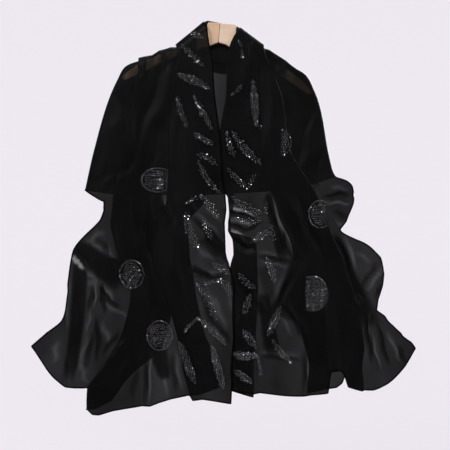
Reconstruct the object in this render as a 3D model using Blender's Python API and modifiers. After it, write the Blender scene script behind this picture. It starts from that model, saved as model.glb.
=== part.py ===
"""A chiffon hijab shawl hung on a flat wooden hanger.

The shawl is one rectangle of thin cloth, 1.8 m long and 0.7 m wide. It goes round the back
of the hanger's neck as a three-layer collar, falls as a single back panel behind the hanger,
wraps forward over both arms, and hangs down in front as two pleated fronts.

Frame: metres, +Z up, +X to the right seen from the front, the front faces -Y.
The origin is the middle of the top of the hanger's head, where the hanger is held.
"""

import math
from collections import namedtuple
from dataclasses import dataclass

import bmesh
import bpy
import numpy as np

MM = 0.001

# ---- Driving sizes, in millimetres -------------------------------------------------------
CLOTH_WALL = 1.0            # thickness of every cloth wall
SEAM_HALF_GAP = 0.38        # each stretch stops this far from the seam's middle plane
FRONT_DEPTH = 9.0           # the fronts' rearmost layer hangs this far in front of the seam
BACK_DEPTH = 11.5           # the back panel hangs this far behind the seam
CURL_RADIUS = 9.0           # the cloth turns over the shoulder and side folds with this radius
LAYER_GAP_TOP = 2.7         # spacing of the pleats' layers at the shoulder
LAYER_GAP_HEM = 4.2         # and at the hem
FOLD_START_DROP = 60.0      # below this drop the soft vertical folds begin
FOLD_FULL_DROP = 640.0      # and from here they have their full depth
FOLD_DEPTHS = (10.0, 4.0)   # how far the two sets of folds stand forward
FOLD_WIDTHS = (172.0, 104.0)    # distance from one fold to the next in each set
FOLD_SLANTS = (0.16, -0.22)     # how far sideways each set moves for each millimetre down
FOLD_PHASES = (0.6, 2.1)    # where across its width each set starts, in radians
BACK_FOLD_DEPTH = 2.2       # the back panel's own soft folds
BACK_FOLD_START = 122.0     # the drop at which they begin
BACK_FOLD_GROWTH = 120.0    # and the drop over which they reach their full depth
COLLAR_LAYER_GAP = 3.0
COLLAR_ARCH_DROP = 9.0      # height of the round top of the collar
COLLAR_FALL = 112.0         # length of the collar's outer layer at the middle
COLLAR_END_FALL = 20.0      # and at the shoulders
COLLAR_LIP_DEPTH = 8.7      # the innermost layer hangs this far behind the seam plane
COLLAR_LIP_FALL = 84.0      # its length below the round top at the middle
COLLAR_LIP_END = 5.0        # and beside the hanger's head
COLLAR_LIP_EASE = 8.0       # the inner layer shortens over this width
COLLAR_LIP_CLEARANCE = 2.0  # and ends this far short of the neck's edge, and of the round top
COLLAR_RISE_POWER = 0.8     # below 1 the collar's lower edge is flatter than a half sine
COLLAR_SEAM_SHARE = 0.3     # share of the quarter turn that the rows nearest to the seam cover
NECK_HALF_WIDTH = 38.0      # half the width of the collar behind the hanger's head
NECK_EASE = 4.0             # the half round over the neck becomes a quarter round over this width
HANGER_THICKNESS = 12.0
HANGER_TILT = math.radians(4.6)     # the hanger hangs a little down on the right
HANGER_JOINT_X = -4.4               # where its two halves are glued
HANGER_JOINT_GAP = 0.3
HANGER_EDGE_ROUND = 2.5

# ---- The fronts' section tables, in millimetres ------------------------------------------
# Every place is (out, down): how far out from the origin on that front's own side, and how
# far below the head's top. Each row is one section across the cloth, from the neck side to
# the selvedge, and the rows go down from the shoulder seam to the hem.
LeftSection = namedtuple(
    "LeftSection",
    "inner lapel_edge lapel_root centre column_edge column_root shoulder chest side outer",
)
LEFT_SECTIONS = (
    LeftSection((32, 4), (96, 55), (53, 21), (103, 61), (183, 81),
                (165, 77), (216, 98), (231, 125), (282, 279), (299, 367)),
    LeftSection((23, 59), (97, 81), (57, 70), (119, 95), (185, 110),
                (167, 107), (200, 125), (220, 161), (271, 284), (286, 376)),
    LeftSection((18, 147), (112, 154), (40, 152), (125, 163), (198, 172),
                (172, 170), (209, 183), (227, 209), (264, 295), (273, 384)),
    LeftSection((4, 264), (119, 268), (26, 267), (130, 275), (220, 279),
                (167, 279), (216, 286), (235, 301), (257, 350), (260, 392)),
    LeftSection((-2, 376), (119, 389), (37, 385), (141, 394), (240, 396),
                (125, 398), (209, 400), (224, 400), (238, 400), (249, 398)),
    LeftSection((-6, 440), (152, 438), (75, 444), (158, 447), (242, 449),
                (110, 451), (202, 451), (229, 447), (251, 438), (268, 431)),
    LeftSection((-7, 513), (156, 504), (68, 517), (147, 521), (227, 521),
                (134, 524), (202, 524), (242, 519), (286, 513), (330, 502)),
    LeftSection((-26, 592), (123, 590), (59, 587), (130, 598), (200, 603),
                (110, 607), (207, 609), (251, 607), (299, 601), (343, 583)),
    LeftSection((-26, 675), (101, 682), (40, 678), (130, 689), (222, 686),
                (125, 697), (229, 693), (273, 684), (312, 671), (354, 653)),
    LeftSection((-20, 755), (86, 757), (0, 755), (132, 766), (262, 757),
                (196, 772), (246, 770), (295, 755), (339, 728), (387, 684)),
    LeftSection((-16, 836), (70, 823), (7, 799), (158, 840), (295, 856),
                (242, 829), (273, 812), (308, 799), (356, 783), (418, 712)),
)
RightSection = namedtuple(
    "RightSection",
    "raw_edge inner breast lapel_edge lapel_root centre shoulder arm chest side outer",
)
RIGHT_SECTIONS = (
    RightSection((55, 29), (36, 15), (64, 36), (90, 55), (55, 29),
                 (97, 60), (145, 91), (185, 114), (205, 152), (235, 288), (246, 338)),
    RightSection((57, 73), (18, 59), (59, 73), (101, 86), (62, 75),
                 (110, 97), (147, 121), (176, 145), (191, 180), (228, 332), (257, 342)),
    RightSection((70, 152), (9, 147), (73, 156), (132, 163), (48, 154),
                 (119, 172), (152, 187), (176, 207), (189, 240), (222, 361), (275, 349)),
    RightSection((84, 271), (-7, 264), (73, 271), (150, 277), (40, 273),
                 (114, 282), (150, 288), (178, 297), (198, 315), (224, 381), (286, 361)),
    RightSection((88, 381), (1, 374), (106, 381), (211, 385), (110, 378),
                 (156, 387), (174, 392), (191, 397), (209, 403), (238, 407), (289, 383)),
    RightSection((73, 447), (16, 444), (128, 447), (235, 447), (132, 440),
                 (172, 449), (191, 453), (209, 455), (224, 457), (240, 457), (257, 454)),
    RightSection((75, 513), (18, 510), (145, 515), (262, 513), (156, 513),
                 (205, 513), (233, 508), (260, 504), (282, 499), (306, 497), (328, 495)),
    RightSection((77, 592), (22, 590), (158, 592), (288, 594), (152, 590),
                 (211, 596), (244, 596), (275, 596), (301, 594), (326, 592), (350, 590)),
    RightSection((73, 675), (22, 673), (167, 675), (308, 667), (172, 675),
                 (227, 678), (262, 675), (290, 671), (315, 667), (339, 658), (361, 647)),
    RightSection((68, 755), (22, 750), (172, 755), (315, 746), (189, 755),
                 (242, 757), (279, 755), (312, 746), (341, 733), (370, 713), (396, 689)),
    RightSection((68, 821), (22, 806), (178, 821), (330, 807), (189, 812),
                 (242, 805), (282, 805), (319, 806), (354, 799), (392, 766), (426, 716)),
)
ROWS_BETWEEN = (0.0, 0.04, 0.12, 0.28, 0.55)     # places of the rows in the first interval
ROWS_PER_INTERVAL = 3                            # and how many each later interval has
COLLAR_COLUMNS = 25
BACK_NEAR_SEAM = (0.0, 0.006, 0.018)             # the back's columns beside each seam, as shares
BACK_NEXT_COLUMN = 0.045                         # its first evenly spaced column
BACK_EVEN_COLUMNS = 23
BACK_NEAR_TOP = (0.0, 0.008, 0.024, 0.055)       # its rows below the top edge, as shares
BACK_NEXT_ROW = 0.11
BACK_EVEN_ROWS = 11
SIDE_PLACES = 3                                  # the last places of a front run down its side

# The back panel's lower selvedge, and its top edge behind the collar, as (x, down).
BACK_HEM = ((-299, 367), (-250, 374), (-140, 377), (-5, 375), (130, 367), (205, 352), (246, 338))
BACK_NECK = ((-101, 66), (-78, 62), (-34, 22), (34, 28), (62, 52), (90, 68))
# The collar's top fold between the two fronts' neck ends.
NECK_TOP = ((-32, -8), (33, 5))

# The hanger's half outline in its own untilted frame: top and underside, as (out, down).
ARM_TOP = ((0, 0), (30, 0), (32, 5), (33, 20), (50, 31), (70, 47), (88, 64), (110, 73), (130, 79),
           (150, 89), (170, 101), (185, 111), (198, 122), (206, 131), (210, 137))
ARM_UNDERSIDE = ((208, 141), (200, 141), (152, 113), (120, 95), (90, 79), (45, 60), (20, 50),
                 (12, 46), (0, 43))

# ---- Colours --------------------------------------------------------------------------------
CHIFFON_COLOUR = (0.012, 0.012, 0.013, 1.0)
WOOD_LIGHT = (0.70, 0.50, 0.37, 1.0)
WOOD_DARK = (0.62, 0.43, 0.30, 1.0)
CHIFFON_ROUGHNESS = 0.75
WOOD_ROUGHNESS = 0.5


@dataclass(frozen=True)
class FrontPlan:
    """How one front is folded: its side, its sections, and each run between two places."""

    name: str
    side: int
    sections: tuple
    folded: tuple          # for each inner place, whether the cloth folds back on itself there
    levels: tuple          # for each run, how many layers it lies in front of the rearmost
    segments: tuple        # for each run, how many columns of faces it has
    hidden_at_seam: tuple  # the places that lie under a pleat at the shoulder seam


LEFT_FRONT = FrontPlan(
    name="front_left",
    side=-1,
    sections=LEFT_SECTIONS,
    folded=(True, True, False, True, True, False, False, False),
    levels=(4, 3, 2, 2, 1, 0, 0, 0, 0),
    segments=(6, 4, 4, 4, 3, 3, 2, 3, 3),
    hidden_at_seam=(5,),
)
RIGHT_FRONT = FrontPlan(
    name="front_right",
    side=1,
    sections=RIGHT_SECTIONS,
    folded=(True, False, True, True, False, False, False, False, False),
    levels=(2, 3, 3, 1, 0, 0, 0, 0, 0, 0),
    segments=(3, 5, 5, 4, 3, 3, 2, 2, 3, 3),
    hidden_at_seam=(),
)


def clear_scene():
    """Remove every object that the scene starts with."""
    for thing in list(bpy.data.objects):
        bpy.data.objects.remove(thing, do_unlink=True)


def principled(name, colour, roughness):
    """A plain material of one colour."""
    material = bpy.data.materials.new(name)
    material.use_nodes = True
    shader = material.node_tree.nodes["Principled BSDF"]
    shader.inputs["Base Color"].default_value = colour
    shader.inputs["Roughness"].default_value = roughness
    shader.inputs["Metallic"].default_value = 0.0
    return material


def smooth_rows(table, steps):
    """Carry a table's rows to finer steps with cubic pieces that never overshoot a row."""
    table = np.asarray(table, dtype=float)
    slope = np.diff(table, axis=0)
    tangent = np.zeros_like(table)
    tangent[0] = slope[0]
    tangent[-1] = slope[-1]
    before, after = slope[:-1], slope[1:]
    same_way = before * after > 0
    total = np.where(same_way, before + after, 1.0)
    tangent[1:-1] = np.where(same_way, 2.0 * before * after / total, 0.0)
    index = np.clip(np.floor(steps).astype(int), 0, len(table) - 2)
    t = (steps - index).reshape((-1,) + (1,) * (table.ndim - 1))
    return (
        table[index] * (2 * t**3 - 3 * t**2 + 1)
        + tangent[index] * (t**3 - 2 * t**2 + t)
        + table[index + 1] * (3 * t**2 - 2 * t**3)
        + tangent[index + 1] * (t**3 - t**2)
    )


def along(points, places):
    """Points at the given fractions of a polyline's length."""
    points = np.asarray(points, dtype=float)
    reach = np.concatenate([[0.0], np.cumsum(np.linalg.norm(np.diff(points, axis=0), axis=1))])
    wanted = np.asarray(places) * reach[-1]
    return np.stack([np.interp(wanted, reach, points[:, axis]) for axis in (0, 1)], axis=-1)


def distance_to_line(places, line):
    """Shortest distance from each place to a polyline, both in the X-Z plane."""
    nearest = np.full(places.shape[:-1], np.inf)
    for start, end in zip(line[:-1], line[1:]):
        step = end - start
        share = np.clip(((places - start) @ step) / (step @ step), 0.0, 1.0)
        foot = start + share[..., None] * step
        nearest = np.minimum(nearest, np.linalg.norm(places - foot, axis=-1))
    return nearest


def curl(distance):
    """Share of the full depth that a quarter-round turn has reached at a distance from it."""
    rest = 1.0 - np.clip(distance / CURL_RADIUS, 0.0, 1.0)
    return np.sqrt(np.clip(1.0 - rest**2, 0.0, 1.0))


def ease(value):
    """A smooth step from 0 to 1."""
    value = np.clip(value, 0.0, 1.0)
    return value * value * (3.0 - 2.0 * value)


def soft_folds(x, drop):
    """Depth of the fronts' soft vertical folds, which grow wider and deeper downwards."""
    depth = np.zeros_like(x)
    grown = ease((drop - FOLD_START_DROP) / (FOLD_FULL_DROP - FOLD_START_DROP))
    for size, width, slant, phase in zip(FOLD_DEPTHS, FOLD_WIDTHS, FOLD_SLANTS, FOLD_PHASES):
        turn = 2.0 * math.pi * (x + slant * drop) / width + phase
        depth += size * 0.5 * (1.0 + np.cos(turn))
    return depth * grown


def section_rows(sections, side):
    """The section table as an array of X and drop, carried to the mesh's rows."""
    table = np.array(sections, dtype=float)
    table[:, :, 0] *= side
    steps = list(ROWS_BETWEEN)
    for interval in range(1, len(table) - 1):
        steps.extend(interval + np.arange(ROWS_PER_INTERVAL) / ROWS_PER_INTERVAL)
    steps.append(len(table) - 1.0)
    return smooth_rows(table, np.array(steps))


def upward_normals(places, side):
    """Unit normals of the shoulder line at its places, all on the side away from the body."""
    step = np.diff(places, axis=0)
    step *= np.where(step[:, :1] * side < 0, -1.0, 1.0)
    step /= np.linalg.norm(step, axis=1)[:, None]
    along_place = np.concatenate([step[:1], 0.5 * (step[:-1] + step[1:]), step[-1:]])
    along_place /= np.linalg.norm(along_place, axis=1)[:, None]
    return side * np.stack([along_place[:, 1], -along_place[:, 0]], axis=1)


def front_surface(plan):
    """The middle surface of one front: pleated runs at stepped depths, joined by round folds.

    Each row runs between the section's places. A run that ends in a fold stops half a layer
    gap short of it, the fold's middle point lies on the place itself, and the next run starts
    half a gap back, one or more layers away. Over the shoulder the layers lie above each other.
    Returns the surface and, for each of its columns, the run that the column is in.
    """
    rows = section_rows(plan.sections, plan.side)
    fall = np.linspace(0.0, 1.0, len(rows))
    gap = LAYER_GAP_TOP + (LAYER_GAP_HEM - LAYER_GAP_TOP) * fall
    folded = (False,) + plan.folded + (False,)
    normals = upward_normals(rows[0], plan.side)
    places, levels, above, runs = [], [], [], []
    for run, (level, segments) in enumerate(zip(plan.levels, plan.segments)):
        start, end = rows[:, run], rows[:, run + 1]
        step = end - start
        length = np.linalg.norm(step, axis=1)
        before = abs(level - plan.levels[run - 1]) if folded[run] else 0
        after = abs(level - plan.levels[run + 1]) if folded[run + 1] else 0
        reach = step / length[:, None]
        start = start + reach * (0.5 * before * gap)[:, None]
        end = end - reach * (0.5 * after * gap)[:, None]
        first = 0 if run == 0 or before else 1
        for part in range(first, segments + 1):
            share = part / segments
            places.append(start + (end - start) * share)
            above.append(normals[run] + (normals[run + 1] - normals[run]) * share)
            levels.append(level)
            runs.append(run)
        if after:
            places.append(rows[:, run + 1])
            above.append(normals[run + 1])
            levels.append(0.5 * (level + plan.levels[run + 1]))
            runs.append(run)
    places = np.stack(places, axis=1)
    lift = np.array(levels)[None, :] * gap[:, None]
    far = np.linalg.norm(places - places[:1], axis=-1)
    turned = curl(far)
    upright = 1.0 - np.clip(far / CURL_RADIUS, 0.0, 1.0)
    depth = FRONT_DEPTH + lift + soft_folds(places[..., 0], places[..., 1])
    y = -SEAM_HALF_GAP - turned * (depth - SEAM_HALF_GAP)
    places = places + np.array(above)[None] * (lift * upright)[..., None]
    return np.stack([places[..., 0], y, -places[..., 1]], axis=-1), np.array(runs)


def seam_line(plan, first):
    """The front's shoulder and side seam as a line in X and drop, from one place outwards."""
    line = np.array(plan.sections[0], dtype=float)
    line[:, 0] *= plan.side
    lift = np.array(plan.levels + plan.levels[-1:])[:, None] * LAYER_GAP_TOP
    line = line + upward_normals(line, plan.side) * lift
    keep = [place for place in range(first, len(line)) if place not in plan.hidden_at_seam]
    return line[keep]


def back_surface():
    """The middle surface of the back panel: a Coons patch that curls forward at the seams."""
    left = seam_line(LEFT_FRONT, LeftSection._fields.index("centre"))
    right = seam_line(RIGHT_FRONT, RightSection._fields.index("centre"))
    corner_left, corner_right = len(left) - SIDE_PLACES, len(right) - SIDE_PLACES
    top = np.concatenate([
        left[corner_left::-1], np.array(BACK_NECK, dtype=float), right[: corner_right + 1],
    ])
    edge_left, edge_right = left[corner_left:], right[corner_right:]
    near_seam = np.array(BACK_NEAR_SEAM)
    even = np.linspace(BACK_NEXT_COLUMN, 1.0 - BACK_NEXT_COLUMN, BACK_EVEN_COLUMNS)
    across = np.concatenate([near_seam, even, 1.0 - near_seam[::-1]])
    down = np.concatenate([BACK_NEAR_TOP, np.linspace(BACK_NEXT_ROW, 1.0, BACK_EVEN_ROWS)])
    u, v = np.meshgrid(across, down)
    u, v = u[..., None], v[..., None]
    upper, lower = along(top, across)[None], along(BACK_HEM, across)[None]
    start, end = along(edge_left, down)[:, None], along(edge_right, down)[:, None]
    corners = (
        (1 - u) * (1 - v) * top[0] + u * (1 - v) * top[-1]
        + (1 - u) * v * edge_left[-1] + u * v * edge_right[-1]
    )
    places = (1 - v) * upper + v * lower + (1 - u) * start + u * end - corners
    x, drop = places[..., 0], places[..., 1]
    turned = curl(np.minimum(distance_to_line(places, left), distance_to_line(places, right)))
    ripple = BACK_FOLD_DEPTH * 0.5 * (1.0 - np.cos(2.0 * math.pi * x / FOLD_WIDTHS[1]))
    ripple *= ease((drop - BACK_FOLD_START) / BACK_FOLD_GROWTH)
    y = SEAM_HALF_GAP + turned * (BACK_DEPTH + ripple - SEAM_HALF_GAP)
    return np.stack([x, y, -drop], axis=-1)


def collar_surface(left_front, left_runs, right_front, right_runs):
    """The middle surface of the collar: the cloth folded down behind the neck in layers.

    Each section starts at the lapels' seam, or behind the hanger's head at the lower end of a
    short inner layer. It turns over backwards, falls, and folds up again on its inner side.
    The sections shorten towards both shoulders.
    """
    lapel_left = left_front[0, left_runs == 0][:-1, ::2] * (1, -1)
    lapel_right = right_front[0, (right_runs == 1) | (right_runs == 2)][:-1, ::2] * (1, -1)
    line = np.concatenate([lapel_left[::-1], np.array(NECK_TOP, dtype=float), lapel_right])
    across = np.linspace(0.0, 1.0, COLLAR_COLUMNS)
    top = along(line, across)
    x = top[:, :1]
    neck = ease((NECK_HALF_WIDTH + NECK_EASE - np.abs(x)) / NECK_EASE)
    rise = np.sin(math.pi * across[:, None]) ** COLLAR_RISE_POWER
    length = COLLAR_END_FALL + (COLLAR_FALL - COLLAR_END_FALL) * rise
    outer = BACK_DEPTH + 2.0 * COLLAR_LAYER_GAP
    # From the seam, or up the inner layer, and over the top in a quarter or a half round.
    lip = np.linspace(0.0, 1.0, 4)[None, :-1]
    turn = np.linspace(0.0, 1.0, 6)[None, :]
    shares = [COLLAR_SEAM_SHARE * lip, COLLAR_SEAM_SHARE + (1.0 - COLLAR_SEAM_SHARE) * turn]
    quarter = 0.5 * math.pi * np.concatenate(shares, axis=1)
    quarter_y = SEAM_HALF_GAP + (outer - SEAM_HALF_GAP) * np.sin(quarter)
    quarter_drop = COLLAR_ARCH_DROP * (1.0 - np.cos(quarter))
    middle = ease((NECK_HALF_WIDTH - COLLAR_LIP_CLEARANCE - np.abs(x)) / COLLAR_LIP_EASE)
    lip_length = COLLAR_LIP_END + (COLLAR_LIP_FALL - COLLAR_LIP_END) * middle
    lip_drop = COLLAR_ARCH_DROP + lip_length * (1.0 - lip)
    over_y = COLLAR_LIP_DEPTH + 0.5 * (outer - COLLAR_LIP_DEPTH) * (1.0 - np.cos(math.pi * turn))
    over_drop = COLLAR_ARCH_DROP * (1.0 - np.sin(math.pi * turn))
    half_y = np.concatenate([np.full_like(lip, COLLAR_LIP_DEPTH), over_y], axis=1)
    over_drop = np.broadcast_to(over_drop, (len(x), turn.size))
    half_drop = np.concatenate([lip_drop, over_drop], axis=1)
    y = [(1 - neck) * quarter_y + neck * half_y]
    drop = [(1 - neck) * quarter_drop + neck * half_drop]
    # Down the outer layer, round the lower fold and up the inner one.
    half = 0.5 * COLLAR_LAYER_GAP
    down, up = np.array([[0.25, 0.5, 0.75, 1.0]]), np.array([[0.0, 0.33, 0.66, 1.0]])
    y += [outer + 0 * down + 0 * x, outer - half + 0 * x, outer - 2 * half + 0 * up + 0 * x]
    low = length - half
    drop += [COLLAR_ARCH_DROP + (low - COLLAR_ARCH_DROP) * down, length]
    drop += [low + (COLLAR_ARCH_DROP + COLLAR_LIP_CLEARANCE - low) * up]
    y, drop = np.concatenate(y, axis=1), np.concatenate(drop, axis=1)
    return np.stack([np.broadcast_to(x, y.shape), y, -(top[:, 1:] + drop)], axis=-1)


def cloth_piece(name, surface, material, collection, outward_first):
    """Make a grid surface into a mesh and give it the cloth's wall with Solidify."""
    rows, columns = surface.shape[:2]
    index = np.arange(rows * columns).reshape(rows, columns)
    corners = [index[:-1, :-1], index[1:, :-1], index[1:, 1:], index[:-1, 1:]]
    if not outward_first:
        corners.reverse()
    faces = np.stack(corners, axis=-1).reshape(-1, 4)
    mesh = bpy.data.meshes.new(name)
    mesh.from_pydata((surface.reshape(-1, 3) * MM).tolist(), [], faces.tolist())
    mesh.update()
    mesh.shade_smooth()
    piece = bpy.data.objects.new(name, mesh)
    collection.objects.link(piece)
    piece.data.materials.append(material)
    wall = piece.modifiers.new("wall", "SOLIDIFY")
    wall.thickness = CLOTH_WALL * MM
    wall.offset = 0.0
    return piece


def hanger_half(name, side, material, collection):
    """One half of the flat wooden hanger: its outline extruded, rounded, and turned.

    The turn by HANGER_TILT stays on the object, so that the bevel sees a flat outline.
    """
    outline = [(side * out, -down) for out, down in ARM_TOP + ARM_UNDERSIDE]
    joint = HANGER_JOINT_X + side * 0.5 * HANGER_JOINT_GAP
    outline[0] = (joint, outline[0][1])
    outline[-1] = (joint, outline[-1][1])
    shape = bmesh.new()
    corners = [shape.verts.new((x * MM, -0.5 * HANGER_THICKNESS * MM, z * MM)) for x, z in outline]
    face = shape.faces.new(corners)
    pushed = bmesh.ops.extrude_face_region(shape, geom=[face])
    moved = [item for item in pushed["geom"] if isinstance(item, bmesh.types.BMVert)]
    bmesh.ops.translate(shape, verts=moved, vec=(0.0, HANGER_THICKNESS * MM, 0.0))
    bmesh.ops.recalc_face_normals(shape, faces=shape.faces)
    mesh = bpy.data.meshes.new(name)
    shape.to_mesh(mesh)
    shape.free()
    piece = bpy.data.objects.new(name, mesh)
    piece.rotation_euler = (0.0, HANGER_TILT, 0.0)
    collection.objects.link(piece)
    piece.data.materials.append(material)
    rounding = piece.modifiers.new("rounding", "BEVEL")
    rounding.width = HANGER_EDGE_ROUND * MM
    rounding.segments = 2
    rounding.limit_method = "ANGLE"
    rounding.angle_limit = math.radians(40.0)
    return piece


def main():
    """Build the hanger and the four stretches of the shawl."""
    clear_scene()
    collection = bpy.data.collections.new("chiffon_hijab_on_hanger")
    bpy.context.scene.collection.children.link(collection)
    chiffon = principled("chiffon", CHIFFON_COLOUR, CHIFFON_ROUGHNESS)
    wood_left = principled("wood_left", WOOD_DARK, WOOD_ROUGHNESS)
    wood_right = principled("wood_right", WOOD_LIGHT, WOOD_ROUGHNESS)
    hanger_half("hanger_left", -1, wood_left, collection)
    hanger_half("hanger_right", 1, wood_right, collection)
    left, left_runs = front_surface(LEFT_FRONT)
    right, right_runs = front_surface(RIGHT_FRONT)
    collar = collar_surface(left, left_runs, right, right_runs)
    cloth_piece("front_left", left, chiffon, collection, False)
    cloth_piece("front_right", right, chiffon, collection, True)
    cloth_piece("back", back_surface(), chiffon, collection, True)
    cloth_piece("collar", collar, chiffon, collection, False)


main()
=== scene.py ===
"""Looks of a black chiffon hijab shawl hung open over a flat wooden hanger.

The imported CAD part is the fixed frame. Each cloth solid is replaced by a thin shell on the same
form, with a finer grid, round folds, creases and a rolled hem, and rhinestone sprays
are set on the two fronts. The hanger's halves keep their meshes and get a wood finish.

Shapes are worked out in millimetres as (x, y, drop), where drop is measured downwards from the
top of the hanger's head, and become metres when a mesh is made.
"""

import logging
import math
from dataclasses import dataclass, field
from enum import Enum
from typing import NamedTuple

import bpy
import numpy as np
from mathutils.bvhtree import BVHTree
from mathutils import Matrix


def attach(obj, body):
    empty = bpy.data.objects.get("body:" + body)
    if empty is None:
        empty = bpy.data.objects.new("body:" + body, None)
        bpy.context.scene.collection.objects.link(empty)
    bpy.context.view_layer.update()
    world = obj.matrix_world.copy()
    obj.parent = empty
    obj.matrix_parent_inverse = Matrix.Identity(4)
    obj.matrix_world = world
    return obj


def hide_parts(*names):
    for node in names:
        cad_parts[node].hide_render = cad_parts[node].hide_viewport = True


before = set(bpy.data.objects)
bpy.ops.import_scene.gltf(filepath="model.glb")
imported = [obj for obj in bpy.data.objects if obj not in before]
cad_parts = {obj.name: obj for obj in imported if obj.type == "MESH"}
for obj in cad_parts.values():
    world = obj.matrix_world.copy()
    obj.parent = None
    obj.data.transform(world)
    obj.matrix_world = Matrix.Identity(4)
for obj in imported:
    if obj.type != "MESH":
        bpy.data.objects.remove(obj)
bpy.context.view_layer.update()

LOG = logging.getLogger("shawl")

MM = 0.001
TINY = 1e-9                       # keeps a division by a length from failing
PIXEL = 2.2                       # millimetres that one pixel of the picture shows
PICTURE_ORIGIN = (222.0, 23.0)    # the frame's origin in the picture
PICTURE_SIZE = 450                # the picture's width and height in pixels

Array = np.ndarray
Place = tuple[float, float]
Material, Object = bpy.types.Material, bpy.types.Object
Tree, Node, Socket = bpy.types.NodeTree, bpy.types.Node, bpy.types.NodeSocket


# ---- Shared measures of the hung cloth, in millimetres ----------------------------------------
CLOTH_WALL = 0.5
FRONT_DEPTH = 9.0                 # how far in front of the hanger's middle the fronts hang
BACK_DEPTH = 11.5                 # and how far behind it the back panel does
CURL_RADIUS = 9.0                 # radius of the turn from a seam to those depths
LAYER_GAP_TOP = 2.7               # distance between neighbouring layers at the shoulder
LAYER_GAP_HEM = 4.2               # and at the hem
SHOWN_STEP = 3.3                  # distance between a shown layer's columns
HIDDEN_STEP = 9.0                 # and between those of a layer that lies under another
FIRST_ROWS = 16                   # rows between the first two sections
ROWS_PER_INTERVAL = 15            # and between each two of the others
CHIFFON_COVER = 0.868             # how much one face of a shell hides of what lies behind it
# The cover paints the creases' light and shade: highlights over ridges, shade in troughs.
PAINTED_CREASE_SHADING = 0.38                # cloth counts as this much thinner over a high ridge and thicker in a deep trough
HIGH_CREASE = 3.5                 # and a crease counts as high from about this height
LEAST_THICKNESS = 0.35            # thinned cloth still counts as this much of its thickness
# Painted shade: fold flanks turned from the front count as thicker, from every side.
MOST_SEEN = 2.4                   # cloth seen edge on counts as this many times its thickness
CREASE_END = 0.6                  # a crease is this much as wide at its ends as in its middle
CREASE_FADE = 0.7                 # below 1, its height fades later than a half sine does
CREASE_WAVER = 0.4                # how far its line strays to either side, in its widths
CREASE_WAVES = 9.0                # and how many radians that wave turns on its way
TUCK_EDGE = 1.5                   # a tuck's edge is soft over this distance
TUCK_EDGE_SHARE = 0.7             # and over this share of its half width more
TUCK_START_FADE = 0.14            # it sets in over this share of its length
TUCK_END_FADE = 0.2               # and ends over this one
HEM_FLATNESS = 0.8                # a rolled hem's thickness as a share of its width
LATTICE_ROW = 0.87                # distance between a staggered lattice's rows, in its pitches


def rows_of(kind: type, table: tuple) -> tuple:
    """Give the rows of a table the column names of a kind of row."""
    return tuple(kind(*row) for row in table)


class LeftSection(NamedTuple):
    """Places of one section across the left front, each (out, down) in millimetres."""

    inner: Place
    lapel_edge: Place
    lapel_root: Place
    centre: Place
    column_edge: Place
    column_root: Place
    shoulder: Place
    chest: Place
    side: Place
    outer: Place


class RightSection(NamedTuple):
    """Places of one section across the right front, each (out, down) in millimetres."""

    raw_edge: Place
    inner: Place
    breast: Place
    lapel_edge: Place
    lapel_root: Place
    centre: Place
    shoulder: Place
    arm: Place
    chest: Place
    side: Place
    outer: Place


class Layer(NamedTuple):
    """A stretch of cloth between two folds, and how many layers it lies in front."""

    start: str
    end: str
    level: int
    step: float


class HemPoint(NamedTuple):
    """How much lower the hem hangs at a place, counted in places from the first one."""

    place: float
    lower: float


class EdgePoint(NamedTuple):
    """How much further out a line down the cloth stands at a section, counted from the first."""

    section: float
    out: float


class EdgeLine(NamedTuple):
    """How one place of the sections strays from the table on its way down."""

    place: str
    points: tuple[EdgePoint, ...]


class Rise(NamedTuple):
    """How much higher the shoulder line stands, at a distance out from the origin."""

    out: float
    higher: float


class Tuck(NamedTuple):
    """A stretch where one layer's cloth lies thicker, between two places of the picture, in pixels.

    The layer is the one that starts at the named place, and "more" says how many thicknesses lie
    there beyond its own: 1 in a tuck, and less than none where the cloth is thinner, as where it is
    pulled tight over the shoulders, and as painted highlights on the right lapel's roll and on the
    left outer panel.
    """

    layer: str
    x: float
    y: float
    x_end: float
    y_end: float
    bow: float
    width: float
    width_end: float
    more: float = 1.0


class Crease(NamedTuple):
    """A soft ridge, or a trough where its height is negative, along a bowed line.

    Places, bow and width are in pixels of the picture, and the height is in millimetres.
    """

    x: float
    y: float
    x_end: float
    y_end: float
    bow: float
    width: float
    height: float


class Leaf(NamedTuple):
    """A leaf-shaped spray of stones between two places of the picture, in pixels."""

    x: float
    y: float
    x_end: float
    y_end: float
    width: float
    bow: float


class Disc(NamedTuple):
    """An oval spray of stones in the picture, in pixels, kept between two upright lines."""

    x: float
    y: float
    radius: float
    height: float
    left: float
    right: float


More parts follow.
